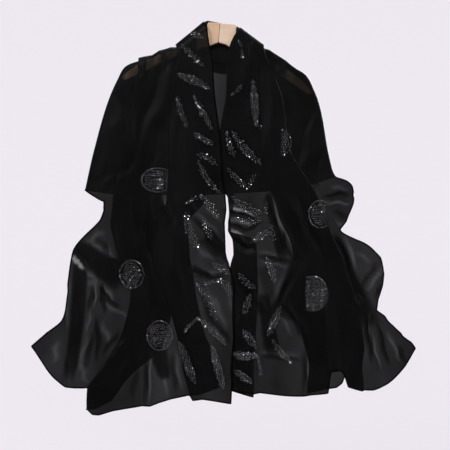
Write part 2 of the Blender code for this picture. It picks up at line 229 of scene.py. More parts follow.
LEFT_SECTIONS = rows_of(LeftSection, (
    ((32, 4), (96, 55), (53, 21), (103, 61), (183, 81), (165, 77), (216, 98), (231, 125),
     (282, 279), (299, 367)),
    ((23, 59), (97, 81), (57, 70), (119, 95), (185, 110), (167, 107), (200, 125), (220, 161),
     (271, 284), (286, 376)),
    ((18, 147), (112, 154), (40, 152), (125, 163), (198, 172), (172, 170), (209, 183), (227, 209),
     (264, 295), (273, 384)),
    ((4, 264), (119, 268), (26, 267), (130, 275), (220, 279), (167, 279), (216, 286), (235, 301),
     (257, 350), (260, 392)),
    ((-2, 376), (119, 389), (37, 385), (141, 394), (240, 396), (125, 398), (209, 400), (224, 400),
     (238, 400), (249, 398)),
    ((-6, 440), (152, 438), (75, 444), (158, 447), (242, 449), (110, 451), (202, 451), (229, 447),
     (251, 438), (268, 431)),
    ((-7, 513), (156, 504), (68, 517), (147, 521), (227, 521), (134, 524), (202, 524), (242, 519),
     (286, 513), (330, 502)),
    ((-26, 592), (123, 590), (59, 587), (130, 598), (200, 603), (110, 607), (207, 609), (251, 607),
     (299, 601), (343, 583)),
    ((-26, 675), (101, 682), (40, 678), (130, 689), (222, 686), (125, 697), (229, 693), (273, 684),
     (312, 671), (354, 653)),
    ((-20, 755), (86, 757), (0, 755), (132, 766), (262, 757), (196, 772), (246, 770), (295, 755),
     (339, 728), (387, 684)),
    ((-16, 836), (70, 823), (7, 799), (158, 840), (295, 856), (242, 829), (273, 812), (308, 799),
     (356, 783), (418, 712)),
))
RIGHT_SECTIONS = rows_of(RightSection, (
    ((55, 29), (36, 15), (64, 36), (90, 55), (55, 29), (97, 60), (145, 91), (185, 114), (205, 152),
     (235, 288), (246, 338)),
    ((57, 73), (18, 59), (59, 73), (101, 86), (62, 75), (110, 97), (147, 121), (176, 145),
     (191, 180), (228, 332), (257, 342)),
    ((70, 152), (9, 147), (73, 156), (132, 163), (48, 154), (119, 172), (152, 187), (176, 207),
     (189, 240), (222, 361), (275, 349)),
    ((84, 271), (-7, 264), (73, 271), (150, 277), (40, 273), (114, 282), (150, 288), (178, 297),
     (198, 315), (224, 381), (286, 361)),
    ((88, 381), (1, 374), (106, 381), (211, 385), (110, 378), (156, 387), (174, 392), (191, 397),
     (209, 403), (238, 407), (289, 383)),
    ((73, 447), (16, 444), (128, 447), (235, 447), (132, 440), (172, 449), (191, 453), (209, 455),
     (224, 457), (240, 457), (257, 454)),
    ((75, 513), (18, 510), (145, 515), (262, 513), (156, 513), (205, 513), (233, 508), (260, 504),
     (282, 499), (306, 497), (328, 495)),
    ((77, 592), (22, 590), (158, 592), (288, 594), (152, 590), (211, 596), (244, 596), (275, 596),
     (301, 594), (326, 592), (350, 590)),
    ((73, 675), (22, 673), (167, 675), (308, 667), (172, 675), (227, 678), (262, 675), (290, 671),
     (315, 667), (339, 658), (361, 647)),
    ((68, 755), (22, 750), (172, 755), (315, 746), (189, 755), (242, 757), (279, 755), (312, 746),
     (341, 733), (370, 713), (396, 689)),
    ((68, 821), (22, 806), (178, 821), (330, 807), (189, 812), (242, 805), (282, 805), (319, 806),
     (354, 799), (392, 766), (426, 716)),
))
LEFT_LAYERS = (
    Layer("inner", "lapel_edge", 4, SHOWN_STEP),
    Layer("lapel_edge", "lapel_root", 3, HIDDEN_STEP),
    Layer("lapel_root", "column_edge", 2, SHOWN_STEP),
    Layer("column_edge", "column_root", 1, HIDDEN_STEP),
    Layer("column_root", "outer", 0, SHOWN_STEP),
)
RIGHT_LAYERS = (
    Layer("raw_edge", "inner", 2, HIDDEN_STEP),
    Layer("inner", "lapel_edge", 3, SHOWN_STEP),
    Layer("lapel_edge", "lapel_root", 1, HIDDEN_STEP),
    Layer("lapel_root", "outer", 0, SHOWN_STEP),
)
LEFT_HEM = rows_of(HemPoint, (
    (0.0, -2), (0.7, -2), (0.94, 4), (1.0, -5), (1.3, 0), (2.3, 0), (2.7, -4.6), (2.87, -3.4),
    (3.0, 0), (3.13, -3.7), (3.6, 1), (3.82, 7), (3.92, 4.5), (4.0, -8), (4.3, 0), (6.6, -3),
    (7.3, 7), (7.7, 10.5), (8.05, 5), (8.5, 1.5), (9.0, -1),
))
RIGHT_HEM = rows_of(HemPoint, (
    (0.0, 0), (1.0, 0), (1.3, 2), (1.38, -2), (1.66, -1.8), (2.0, -3), (2.12, -5), (2.42, -5),
    (2.45, -52), (2.64, -50), (2.7, -41), (2.77, -12), (2.9, -4.7), (3.0, 0), (3.1, -3.4),
    (3.25, -12), (3.32, -41), (3.38, -50), (3.6, -52), (3.63, -8), (3.9, -12), (4.0, 0),
    (4.9, -3), (5.22, -4), (5.53, -13), (5.72, -34), (5.98, -6), (6.2, -2), (7.4, 2),
    (8.0, -1.5), (9.0, -3), (10.0, -1),
))
LEFT_EDGES = (
    EdgeLine("outer", rows_of(EdgePoint, (
        (0, 3), (2.4, 3), (3.2, 0), (3.5, 6.6), (3.9, 10), (4.1, 9), (4.3, 8), (4.6, 2),
        (5.0, -3), (5.3, -4.4), (5.7, -4.4), (6.0, -3.3), (6.9, -3.3), (7.1, -6.5), (7.6, -6),
        (8.0, -3.3), (8.4, 0),
    ))),
    EdgeLine("column_edge", rows_of(EdgePoint, ((9.0, 0), (9.5, 15), (10.0, 0)))),
    EdgeLine("inner", rows_of(EdgePoint, (
        (0, 2), (0.5, 4.5), (0.9, 4.5), (1.4, 0), (3.7, 0), (3.9, -4), (4.5, -4), (5.0, 1.5),
        (5.9, 0), (6.2, -4.4), (6.6, -4.4), (7.0, 0), (9.1, 0), (9.4, -3), (10.0, -3),
    ))),
)
RIGHT_EDGES = (
    EdgeLine("outer", rows_of(EdgePoint, (
        (3.6, 0), (3.9, -2), (4.1, 1), (4.3, 5), (4.75, 10), (5.0, 2), (5.3, 3), (5.6, -3),
        (5.9, -3), (6.1, 3), (6.28, 13), (6.6, 12), (6.85, 5), (7.0, -1), (7.27, -10.6),
        (7.7, -18), (7.95, -3), (8.2, -1), (8.4, 2), (8.8, 3), (9.0, 0), (9.5, 4), (10, -2),
    ))),
    EdgeLine("inner", rows_of(EdgePoint, (
        (0, 0), (0.3, -3), (0.9, -3), (1.3, 0), (3.9, 0), (4.1, 13), (4.35, 9), (4.6, 4),
        (4.9, -3), (5.2, -4), (5.5, 5), (6.0, 6), (6.3, 0),
    ))),
    EdgeLine("raw_edge", rows_of(EdgePoint, ((3.6, 0), (3.9, -64), (5.2, -54), (5.45, 0)))),
    EdgeLine("lapel_edge", rows_of(EdgePoint, ((8.6, 0), (9.3, -12), (10, -20)))),
)
LEFT_RISES = rows_of(Rise, ((96, 0), (112, 7.5), (136, 7.5), (152, 0)))
RIGHT_RISES = rows_of(Rise, ((88, 0), (104, 7), (140, 7), (166, 0)))
LEFT_TUCKS = rows_of(Tuck, (
    ("column_root", 80, 258, 67, 384, 4, 13, 11), ("column_root", 70, 245, 126, 281, 0, 15, 25),
    ("inner", 206, 232, 234, 262, 0, 8, 10), ("inner", 192, 268, 212, 276, 0, 6, 4),
    ("inner", 200, 284, 212, 326, 2, 7, 8, 0.35), ("lapel_root", 158, 348, 166, 380, 0, 16, 8),
    ("column_root", 112, 90, 150, 56, 0, 22, 18, -0.3),
    ("column_edge", 136, 80, 148, 54, 0, 14, 14, -0.65),
    ("lapel_root", 136, 72, 164, 53, 0, 14, 8, -0.2),
    ("lapel_root", 138, 78, 146, 54, 0, 8, 8, -0.4),
    # A painted highlight: the cloth counts as thinner on the bright fold below the outer panel's loop.
    ("column_root", 72, 255, 86, 271, 0, 6, 5, -1.0),
))
RIGHT_TUCKS = rows_of(Tuck, (
    ("lapel_root", 328, 234, 364, 334, 0, 16, 34), ("lapel_root", 258, 54, 288, 72, 0, 16, 10),
    ("lapel_root", 335, 362, 337, 394, 0, 14, 18, -0.1),
    # Painted highlights on the lapel's rolled loop: the cloth counts as thinner there.
    ("inner", 222, 204, 256, 217, 0, 4.5, 3, -0.4),
    ("inner", 222, 219, 252, 225, 0, 5, 3, -0.15), ("inner", 221, 227, 248, 241, 2, 5, 4, -0.4),
    ("inner", 262, 264, 274, 312, 0, 12, 8, 0.2), ("inner", 297, 254, 284, 322, 0, 6, 30),
    ("inner", 262, 292, 274, 356, 0, 10, 12), ("inner", 268, 190, 284, 262, -2, 5, 9),
))

# The creases of the fronts that show, from the shoulders down.
CREASES = rows_of(Crease, (
    # Left: the sweep from the shoulder to the elbow fold.
    (174, 68, 142, 156, 0, 7.5, 3), (162, 66, 137, 148, 0, 4.5, -1.8),
    (124, 88, 137, 157, -1, 3.5, -3), (113, 98, 129, 160, 0, 7.5, 2.4),
    (137, 156, 111, 186, 0, 3.5, -2.4), (120, 104, 97, 180, 0, 9, 2.4),
    (130, 166, 100, 190, 0, 4.5, 1.8), (176, 96, 172, 186, 0, 4.5, 1.8),
    (159, 126, 152, 168, 0, 4, -1.8), (126, 66, 131, 92, 0, 3, 1.5),
    (146, 56, 142, 82, 0, 3, 1.8), (158, 50, 157, 76, 0, 3, 1.8),
    (165, 50, 167, 72, 0, 2.4, -1.8), (150, 54, 150, 70, 0, 2.2, -1.5),
    # Left: narrow streaks of the column below the back panel's hem.
    (130, 196, 130, 244, 0, 1.8, 2.4), (134, 196, 135, 250, 0, 2.1, -2.4),
    (154, 196, 148, 246, 0, 2.1, 3), (150, 200, 145, 250, 0, 1.8, -3),
    (160, 192, 156, 256, 0, 2.6, -2.8), (165, 194, 168, 226, 0, 2.9, 3),
    (171, 186, 174, 226, 0, 2.1, -2.4), (121, 198, 117, 262, 0, 3, -2.4),
    (145, 244, 153, 262, 1, 2, -2.8), (153, 262, 151, 292, 0, 2.5, 2.4),
    (159, 285, 158, 318, 0, 1.8, 2.4), (155, 290, 152, 318, 0, 2, -2.4),
    (170, 240, 180, 300, 2, 5.5, 3),
    # Left: the outer panel's loop, and the creases that spread from the knot below it.
    (84, 243, 106, 232, 1, 3, 3), (92, 226, 104, 214, 0, 2.2, 2.4),
    (90, 239, 105, 255, 0, 2.2, 3), (97, 238, 110, 252, 0, 2, -3),
    (106, 248, 117, 259, 0, 2.2, 3), (112, 258, 122, 268, 0, 2.2, -2.8),
    (72, 252, 84, 269, 0, 2.5, 5), (77, 251, 90, 266, 0, 2, -3), (84, 270, 99, 280, 0, 2.5, 3.5),
    (86, 284, 99, 282, 0, 1.8, 3), (97, 283, 95, 309, 0, 1.9, 4),
    (100, 284, 105, 315, 1, 1.9, -4), (93, 286, 88, 312, 1, 1.9, -3),
    (101, 283, 110, 300, -2, 1.9, -3.5), (104, 286, 116, 303, 0, 2.5, 4.5),
    (99, 298, 128, 314, 2, 2.1, -4), (102, 303, 130, 319, 2, 3, 3.5),
    (92, 308, 87, 334, 0, 2.2, 2.6), (97, 316, 98, 362, 1, 2.2, -4),
    (103, 320, 112, 346, -1, 3.4, 3), (88, 334, 77, 372, 1, 3, 2),
    (94, 330, 84, 372, 1, 2.2, -3), (127, 338, 109, 361, 1, 3, 3),
    (119, 332, 102, 354, 1, 2.2, -3), (84, 296, 80, 330, 0, 2, 3), (69, 276, 66, 330, 0, 2.2, 3),
    (66, 352, 70, 384, 2, 2.5, 3), (58, 340, 54, 364, 0, 3.4, 3),
    (80, 362, 88, 384, 0, 3.4, 2.4),
    # Left: the lower column and the lapel.
    (152, 348, 149, 405, 0, 1.7, 4), (147, 352, 145, 404, 0, 1.7, -3.5),
    (157, 348, 158, 376, 0, 2, -4), (163, 350, 168, 398, 0, 2.5, 3),
    (176, 350, 182, 392, 0, 3, 3), (171, 352, 176, 392, 0, 2.2, -2.8),
    (128, 362, 112, 398, 0, 3.4, 3), (136, 356, 132, 400, 0, 3.4, -2.4),
    (187, 198, 190, 218, 0, 1.6, -2.8), (190, 197, 194, 214, 0, 1.6, 2.8),
    (196, 198, 198, 212, 0, 1.6, -2.4), (190, 217, 218, 243, 2, 2, -4.5),
    (195, 213, 220, 236, 2, 2.2, 3), (203, 204, 222, 222, 0, 2.5, 2.4),
    (200, 240, 226, 257, 1, 4.2, -4), (196, 246, 216, 262, 0, 3.4, 2.8),
    (195, 270, 226, 270, -2, 2.5, 3), (194, 276, 228, 275, -2, 1.8, -4.5),
    (197, 281, 206, 318, 3, 2, -3), (203, 284, 212, 316, 3, 3.4, 3),
    (214, 296, 226, 330, 0, 3.4, 3), (208, 318, 230, 344, 2, 2.2, -3),
    (188, 262, 194, 275, 0, 2.2, -2.4), (200, 336, 206, 388, 0, 3.4, 2.8),
    # Right: the sweep from the shoulder.
    (260, 62, 263, 150, 0, 4, -1.8), (270, 70, 274, 190, 0, 6, 2.1),
    (246, 52, 250, 120, 0, 7.5, 2.1), (310, 116, 291, 178, 0, 3.5, -2.7),
    (317, 112, 300, 186, 0, 4, 2.7), (322, 150, 312, 196, 0, 3, -1.8),
    (300, 96, 284, 172, 0, 6, 1.8), (285, 60, 292, 86, 0, 3, 1.8), (252, 36, 258, 58, 0, 3, 1.5),
    (272, 52, 276, 72, 0, 2.7, -1.8),
    # Right: the rolled loop of the lapel.
    (223, 206, 262, 219, 1, 2.2, 8), (223, 212, 260, 220, 1, 1.6, -8),
    (224, 218, 258, 225, 0, 2.5, 3), (224, 224, 250, 233, 1, 1.8, -4),
    (223, 228, 250, 246, 2, 2.9, 9), (224, 237, 246, 249, 1, 2, -6),
    (246, 232, 262, 222, 0, 1.9, -5), (266, 197, 270, 218, 0, 1.9, -5),
    (240, 246, 256, 250, 0, 3, -5),
    # Right: the folds between the lapel and the column.
    (272, 196, 300, 259, -3, 2.9, 4.5), (268, 206, 296, 263, -3, 2, -4.5),
    (283, 226, 284, 257, 0, 1.7, -3), (277, 214, 281, 252, -1, 2.5, 3),
    (256, 256, 296, 263, 0, 1.6, -5), (257, 252, 293, 257, 0, 2.2, 3),
    (260, 261, 290, 267, 0, 2.2, 2.8), (295, 262, 273, 312, 3, 2.5, -5),
    (290, 264, 268, 306, 3, 3.4, 3), (273, 308, 265, 330, 0, 2.2, -3.5),
    (254, 293, 268, 313, 0, 2, 4.5), (251, 296, 264, 318, 0, 2, -3),
    (280, 305, 301, 338, 3, 1.9, -4.5), (285, 302, 308, 348, 4, 2.5, 5),
    (274, 310, 292, 336, 2, 2.2, 2.8), (308, 346, 308, 393, 0, 1.7, 4),
    (304, 348, 303, 392, 0, 1.8, -3), (257, 358, 302, 361, 2, 1.6, -3.5),
    (257, 353, 300, 356, 2, 2.2, 2.8), (262, 328, 268, 352, 0, 2.2, -3),
    (236, 272, 252, 330, 2, 2.5, -3), (230, 292, 238, 340, 0, 3.4, 3),
    # Right: the column and the outer panel.
    (296, 195, 322, 262, 0, 3, -4), (304, 190, 328, 258, 0, 3, 3.5),
    (286, 190, 308, 250, 0, 4, 2.8), (318, 262, 330, 388, 0, 3, 3.5),
    (312, 268, 320, 380, 0, 2.2, -3), (336, 300, 342, 372, 0, 2.2, -3),
    (304, 266, 302, 306, 0, 2.5, 2.8), (337, 236, 352, 284, 0, 2.5, -4),
    (344, 232, 362, 290, 0, 3.4, 4), (356, 252, 372, 262, 0, 2.2, 2.4),
    (383, 263, 366, 291, 2, 2.5, 5), (376, 262, 360, 288, 2, 2.2, -3.5),
    (384, 282, 374, 300, 0, 2, -3), (352, 296, 360, 308, 0, 2, 5),
    (356, 290, 366, 300, 0, 1.8, -3), (371, 310, 367, 334, 0, 2, 4),
    (366, 316, 371, 364, -1, 1.9, -4.5), (371, 332, 380, 370, 0, 2.1, 4.5),
    (376, 322, 388, 366, 0, 2, -4), (362, 316, 355, 382, 0, 2.5, 3.5),
    (386, 330, 401, 362, 0, 3, 4), (394, 340, 406, 364, 0, 2.2, -3),
    (356, 312, 348, 372, 0, 2.2, -3), (322, 198, 350, 195, 1, 2.5, -3.5),
    (324, 204, 351, 204, 1, 2.5, 5), (330, 187, 349, 190, 0, 3, 2.7),
    (332, 212, 350, 218, 0, 2.2, -3), (334, 222, 346, 226, 0, 2.2, 3),
))
# Creases of the back panel, which the picture doesn't show: they fan out from the collar.
BACK_CREASES = rows_of(Crease, (
    (205, 80, 182, 180, 3, 5, 3), (216, 82, 205, 188, 2, 4, -2.5), (232, 80, 238, 186, -2, 5, 3),
    (248, 80, 266, 178, -3, 4.5, -3), (186, 72, 150, 160, 4, 6, 3),
    (170, 66, 128, 140, 4, 4, -2.5), (262, 70, 296, 150, -3, 6, 3.5),
    (284, 76, 312, 130, -2, 4, -2.5), (120, 110, 104, 185, 0, 6, 3),
    (136, 120, 126, 186, 0, 4, -2.5), (306, 110, 318, 180, 0, 5, 3),
    (160, 130, 156, 190, 0, 4, 2.5),
))

LEFT_LEAVES = rows_of(Leaf, (
    (191, 33, 204, 39, 5, 0), (181.6, 45.6, 204, 67, 5, 0), (178, 75, 211, 90, 7, -1),
    (194, 97, 212, 130, 6, 0), (177.5, 98, 186.8, 126.6, 5, 1), (194.5, 134, 215, 146, 5, 0),
    (198, 155, 218, 166, 5, -2), (198.7, 161, 220, 193, 5, 3), (187, 203, 203, 196, 3, -1),
    (201, 195, 218, 219, 6, -1), (186, 213, 199, 250, 8, 2), (203, 220, 213, 241, 5, 0),
    (212.7, 263, 232, 274, 6, 0), (204, 284, 223.6, 280, 3, -1), (221, 279, 231.5, 296, 7, -1),
    (197, 283, 216, 319.6, 6, -2), (184.5, 331, 200, 317, 3, -1), (197, 317, 226, 345, 6, -2),
    (180.7, 342, 196, 384, 8, 1), (211.7, 345.5, 224, 388, 8, 0),
))
LEFT_DISCS = rows_of(Disc, (
    (157.5, 180, 15.5, 12, 142, 167.5), (132, 274, 12, 14, 118, 146),
    (160, 335, 12.5, 14.5, 146, 174),
))
RIGHT_LEAVES = rows_of(Leaf, (
    (239, 42, 242, 47, 3, 0), (242, 51, 242, 59, 3, 0), (232, 95, 242, 84, 3, 1),
    (253, 81, 256, 126, 7, 0), (255, 124, 262, 128, 3, 0), (226.4, 132, 235, 158, 5, 1),
    (232.4, 132, 261, 164, 7, 2), (227.6, 169, 249, 189, 5, 1), (255, 175, 248, 188, 3, 0),
    (232, 197, 263, 214, 6, 2), (266, 202, 266, 214, 3, 0), (234, 218, 262, 220, 6, 3),
    (251, 242, 268, 231, 6, 0), (270, 225, 275, 241, 4, 0), (266, 258, 275, 283, 6, -1),
    (239, 273, 256, 288, 5, 2), (250, 294, 244, 314, 6, 0), (280, 307, 267, 336, 7, 0),
    (243, 329, 256, 348, 7, 0), (233, 352, 256.5, 355, 8, 2), (235, 370, 252, 382, 6, 0),
    (258, 355, 261, 375, 3, 0), (273, 340, 292, 362, 5, 2),
))
RIGHT_DISCS = rows_of(Disc, (
    (279, 143, 12, 13, 281, 292), (320, 214, 11.5, 13.5, 308, 326), (312, 293, 15, 17, 305, 329),
))


class Side(Enum):
    """Which side of the origin a front hangs on, as the sign of its X."""

    LEFT = -1
    RIGHT = 1


class Facing(Enum):
    """Which way a grid's faces are wound, so that they point away from the body."""

    AS_LAID = 0
    TURNED = 1


# ---- Functions of numbers ------------------------------------------------------------------------
def ease(value: Array) -> Array:
    """A smooth step from 0 to 1."""
    value = np.clip(value, 0.0, 1.0)
    return value * value * (3.0 - 2.0 * value)


def curl(distance: Array) -> Array:
    """Share of its depth that a quarter-round turn has reached at a distance from its start."""
    rest = 1.0 - np.clip(distance / CURL_RADIUS, 0.0, 1.0)
    return np.sqrt(np.clip(1.0 - rest**2, 0.0, 1.0))


def hermite(start: Array, start_slope: Array, end: Array, end_slope: Array, share: Array) -> Array:
    """The cubic between two values with the given slopes.

    Args:
        start: The values at the start.
        start_slope: The slopes there.
        end: The values at the end.
        end_slope: The slopes there.
        share: The shares of the way at which values are wanted.

    Returns:
        The values at the shares.
    """
    return (
        start * (2 * share**3 - 3 * share**2 + 1)
        + start_slope * (share**3 - 2 * share**2 + share)
        + end * (3 * share**2 - 2 * share**3)
        + end_slope * (share**3 - share**2)
    )


def smooth_rows(table: Array, steps: Array) -> Array:
    """Carry a table's rows to finer steps with cubic pieces that never overshoot a row.

    Args:
        table: One row for each section.
        steps: Places between the rows, counted in rows.

    Returns:
        The table's values at the steps. The slope at a row is the harmonic mean of the slopes
        on its two sides, and none where they differ in sign.
    """
    slope = np.diff(table, axis=0)
    tangent = np.concatenate([slope[:1], np.zeros_like(table[1:-1]), slope[-1:]])
    before, after = slope[:-1], slope[1:]
    same_way = before * after > 0
    total = np.where(same_way, before + after, 1.0)
    tangent[1:-1] = np.where(same_way, 2.0 * before * after / total, 0.0)
    index = np.clip(np.floor(steps).astype(int), 0, len(table) - 2)
    share = (steps - index).reshape((-1,) + (1,) * (table.ndim - 1))
    return hermite(table[index], tangent[index], table[index + 1], tangent[index + 1], share)


def unit(vectors: Array) -> Array:
    """The vectors, each made one long."""
    return vectors / np.maximum(np.linalg.norm(vectors, axis=-1, keepdims=True), TINY)


def through_places(places: Array, shares: list[Array]) -> Array:
    """A smooth curve through each row's places.

    Args:
        places: Rows of places, with the shape (rows, places, 2).
        shares: For each run between two places, the shares of it at which points are wanted.

    Returns:
        The points, with the shape (rows, points, 2). The direction at a place is the mean of the
        two runs' directions, with the shorter run counting more.
    """
    chord = np.diff(places, axis=1)
    length = np.linalg.norm(chord, axis=2, keepdims=True)
    direction = unit(chord)
    met = length[:, :-1] + length[:, 1:]
    inner = (direction[:, :-1] * length[:, 1:] + direction[:, 1:] * length[:, :-1]) / met
    tangent = np.concatenate([direction[:, :1], inner, direction[:, -1:]], axis=1)
    runs = []
    for run, share in enumerate(shares):
        reach = length[:, run, None]
        runs.append(hermite(
            places[:, run, None], tangent[:, run, None] * reach,
            places[:, run + 1, None], tangent[:, run + 1, None] * reach,
            share[None, :, None],
        ))
    return np.concatenate(runs, axis=1)


def along(points: Array, places: Array) -> Array:
    """Points on a polyline.

    Args:
        points: The polyline's points.
        places: The fractions of its length at which points are wanted.

    Returns:
        The points at the places.
    """
    step = np.linalg.norm(np.diff(points, axis=0), axis=1)
    reach = np.concatenate([[0.0], np.cumsum(step)])
    wanted = np.asarray(places) * reach[-1]
    return np.stack([np.interp(wanted, reach, points[:, k]) for k in range(points.shape[1])], axis=-1)


def distance_to_line(places: Array, line: Array) -> Array:
    """How far places are from a line.

    Args:
        places: The places as (x, drop).
        line: A polyline's points as (x, drop).

    Returns:
        The shortest distance from each place to the polyline.
    """
    nearest = np.full(places.shape[:-1], np.inf)
    for start, end in zip(line[:-1], line[1:]):
        step = end - start
        share = np.clip(((places - start) @ step) / max(step @ step, TINY), 0.0, 1.0)
        foot = start + share[..., None] * step
        nearest = np.minimum(nearest, np.linalg.norm(places - foot, axis=-1))
    return nearest


def from_picture(x: Array, y: Array) -> tuple[Array, Array]:
    """The (x, drop) in millimetres of a place in the picture."""
    return (x - PICTURE_ORIGIN[0]) * PIXEL, (y - PICTURE_ORIGIN[1]) * PIXEL


def beside_line(line: Crease | Tuck, x: Array, drop: Array) -> tuple[Array, Array, Array]:
    """Where places lie beside a bowed line of the picture.

    Args:
        line: The crease or tuck along the line, which bows sideways as a parabola.
        x: The places' x in millimetres.
        drop: Their drop.

    Returns:
        The share of the line's length at which each place lies, the same kept from 0 to 1, and
        the distance to the bowed line's side in millimetres.
    """
    start_x, start_drop = from_picture(line.x, line.y)
    run_x, run_drop = (line.x_end - line.x) * PIXEL, (line.y_end - line.y) * PIXEL
    length = math.hypot(run_x, run_drop)
    away_x, away_drop = x - start_x, drop - start_drop
    share = (away_x * run_x + away_drop * run_drop) / length**2
    inside = np.clip(share, 0.0, 1.0)
    bow = 4.0 * line.bow * PIXEL * inside * (1.0 - inside)
    return share, inside, (away_x * run_drop - away_drop * run_x) / length - bow


def crease_depth(creases: tuple[Crease, ...], x: Array, drop: Array) -> Array:
    """Sum of the creases' reliefs.

    Across a crease the relief is a bell, its height times exp of minus the squared distance in
    widths, measured from its line, which wavers a little. Towards both ends it fades out and
    narrows with the sine of a half turn.

    Args:
        creases: The creases.
        x: The x of the places at which the relief is wanted, in millimetres.
        drop: Their drop.

    Returns:
        The relief in millimetres.
    """
    depth = np.zeros_like(x)
    for crease in creases:
        _, inside, aside = beside_line(crease, x, drop)
        middle = np.sin(math.pi * inside)
        width = crease.width * PIXEL * (CREASE_END + (1.0 - CREASE_END) * middle)
        aside = aside - CREASE_WAVER * width * np.sin(CREASE_WAVES * inside + crease.x)
        depth += crease.height * middle**CREASE_FADE * np.exp(-((aside / width) ** 2))
    return depth


def thickened(tucks: list[Tuck], x: Array, drop: Array) -> Array:
    """How many thicknesses the tucks add.

    Across a tuck its share steps down smoothly about its edge, and it fades at both ends.

    Args:
        tucks: The tucks.
        x: The x of the places in millimetres.
        drop: Their drop.

    Returns:
        The thicknesses added at each place, less than none where the cloth is thinner, which some
        tucks use to paint highlights.
    """
    more = np.zeros_like(x)
    for tuck in tucks:
        share, inside, aside = beside_line(tuck, x, drop)
        half_width = 0.5 * PIXEL * (tuck.width + (tuck.width_end - tuck.width) * inside)
        ends = ease(share / TUCK_START_FADE) * ease((1.0 - share) / TUCK_END_FADE)
        soft = TUCK_EDGE_SHARE * half_width + TUCK_EDGE
        more += tuck.more * ends * ease(0.5 + (half_width - np.abs(aside)) / soft)
    return more


def thickness_seen(surface: Array) -> Array:
    """How thick the cloth is along the picture's line of sight.

    It is one over the part of the surface's unit normal that lies along Y. Fixed on the cloth, it
    paints shade along the flanks of folds, the same from every side.

    Args:
        surface: A grid of points as (x, y, drop).

    Returns:
        The thickness at each point, in the cloth's own thicknesses.
    """
    normal = np.cross(np.gradient(surface, axis=1), np.gradient(surface, axis=0))
    size = np.linalg.norm(normal, axis=-1)
    return np.clip(size / np.maximum(np.abs(normal[..., 1]), TINY), 1.0, MOST_SEEN)


@dataclass(frozen=True)
class SoftFolds:
    """The fronts' wide vertical folds, which grow deeper from the shoulders down."""

    depths: tuple[float, ...] = (10.0, 4.0)
    widths: tuple[float, ...] = (172.0, 104.0)
    slants: tuple[float, ...] = (0.16, -0.22)
    phases: tuple[float, ...] = (0.6, 2.1)
    start_drop: float = 60.0
    full_drop: float = 640.0

    def depth(self, x: Array, drop: Array) -> Array:
        """Depth of the folds: for each set, half its size times one plus a cosine across it."""
        depth = np.zeros_like(x)
        for size, width, slant, phase in zip(self.depths, self.widths, self.slants, self.phases):
            turn = 2.0 * math.pi * (x + slant * drop) / width + phase
            depth += size * 0.5 * (1.0 + np.cos(turn))
        return depth * ease((drop - self.start_drop) / (self.full_drop - self.start_drop))


# ---- Meshes ----------------------------------------------------------------------------------------
def grid_faces(rows: int, columns: int, facing: Facing) -> Array:
    """The quads of a grid.

    Args:
        rows: How many rows of points it has.
        columns: How many points a row has.
        facing: How the faces are wound.

    Returns:
        Four point numbers for each face.
    """
    index = np.arange(rows * columns).reshape(rows, columns)
    corners = [index[:-1, :-1], index[1:, :-1], index[1:, 1:], index[:-1, 1:]]
    if facing is Facing.TURNED:
        corners.reverse()
    return np.stack(corners, axis=-1).reshape(-1, 4)


def row_frame(points: Array) -> Array:
    """Points as (x, y, drop) in millimetres, turned into the frame's metres."""
    return points * (MM, MM, -MM)


def make_object(name: str, points: Array, faces: list, material: Material) -> Object:
    """A mesh object at the origin.

    Args:
        name: Its name.
        points: Its points in metres, with the shape (points, 3).
        faces: Its faces, each a list of point numbers.
        material: Its finish.

    Returns:
        The new object, linked to the scene.
    """
    mesh = bpy.data.meshes.new(name)
    mesh.from_pydata(points.tolist(), [], faces)
    mesh.update()
    mesh.materials.append(material)
    piece = bpy.data.objects.new(name, mesh)
    bpy.context.scene.collection.objects.link(piece)
    return piece


def lay_uv(piece: Object, surface: Array) -> None:
    """Give a grid piece a UV map that measures the cloth in metres, across and down.

    Args:
        piece: The piece.
        surface: Its grid of points in metres.
    """
    across = np.linalg.norm(np.diff(surface, axis=1, prepend=surface[:, :1]), axis=2).cumsum(axis=1)
    down = np.linalg.norm(np.diff(surface, axis=0, prepend=surface[:1]), axis=2).cumsum(axis=0)
    at_points = np.stack([across, down], axis=-1).reshape(-1, 2)
    corner_points = np.zeros(len(piece.data.loops), dtype=np.int32)
    piece.data.loops.foreach_get("vertex_index", corner_points)
    layer = piece.data.uv_layers.new(name="cloth")
    layer.data.foreach_set("uv", at_points[corner_points].astype(np.float32).ravel())


def cloth_shell(name: str, surface: Array, facing: Facing, material: Material,
                more: Array | float = 0.0) -> Object:
    """A thin closed shell on a grid surface.

    Args:
        name: Its name.
        surface: The cloth's middle surface as (x, y, drop) in millimetres.
        facing: How the grid's faces are wound.
        material: Its finish, which reads how much the cloth hides from the attribute "cover".
        more: How many more thicknesses each point has than one, which may be less than none; on the
            fronts it also holds the creases' painted highlights and shade.

    Returns:
        The piece, with a Solidify modifier that gives the cloth its wall.
    """
    points = row_frame(surface)
    # Painted shade: the cover is thicker where the cloth turns away from the front, on fold flanks.
    cover = 1.0 - (1.0 - CHIFFON_COVER) ** (thickness_seen(surface) * (1.0 + more))
    faces = grid_faces(surface.shape[0], surface.shape[1], facing)
    piece = make_object(name, points.reshape(-1, 3), faces.tolist(), material)
    piece.data.shade_smooth()
    lay_uv(piece, points)
    layer = piece.data.attributes.new("cover", "FLOAT", "POINT")
    layer.data.foreach_set("value", cover.astype(np.float32).ravel())
    wall = piece.modifiers.new("wall", "SOLIDIFY")
    wall.thickness = CLOTH_WALL * MM
    wall.offset = 0.0
    return piece


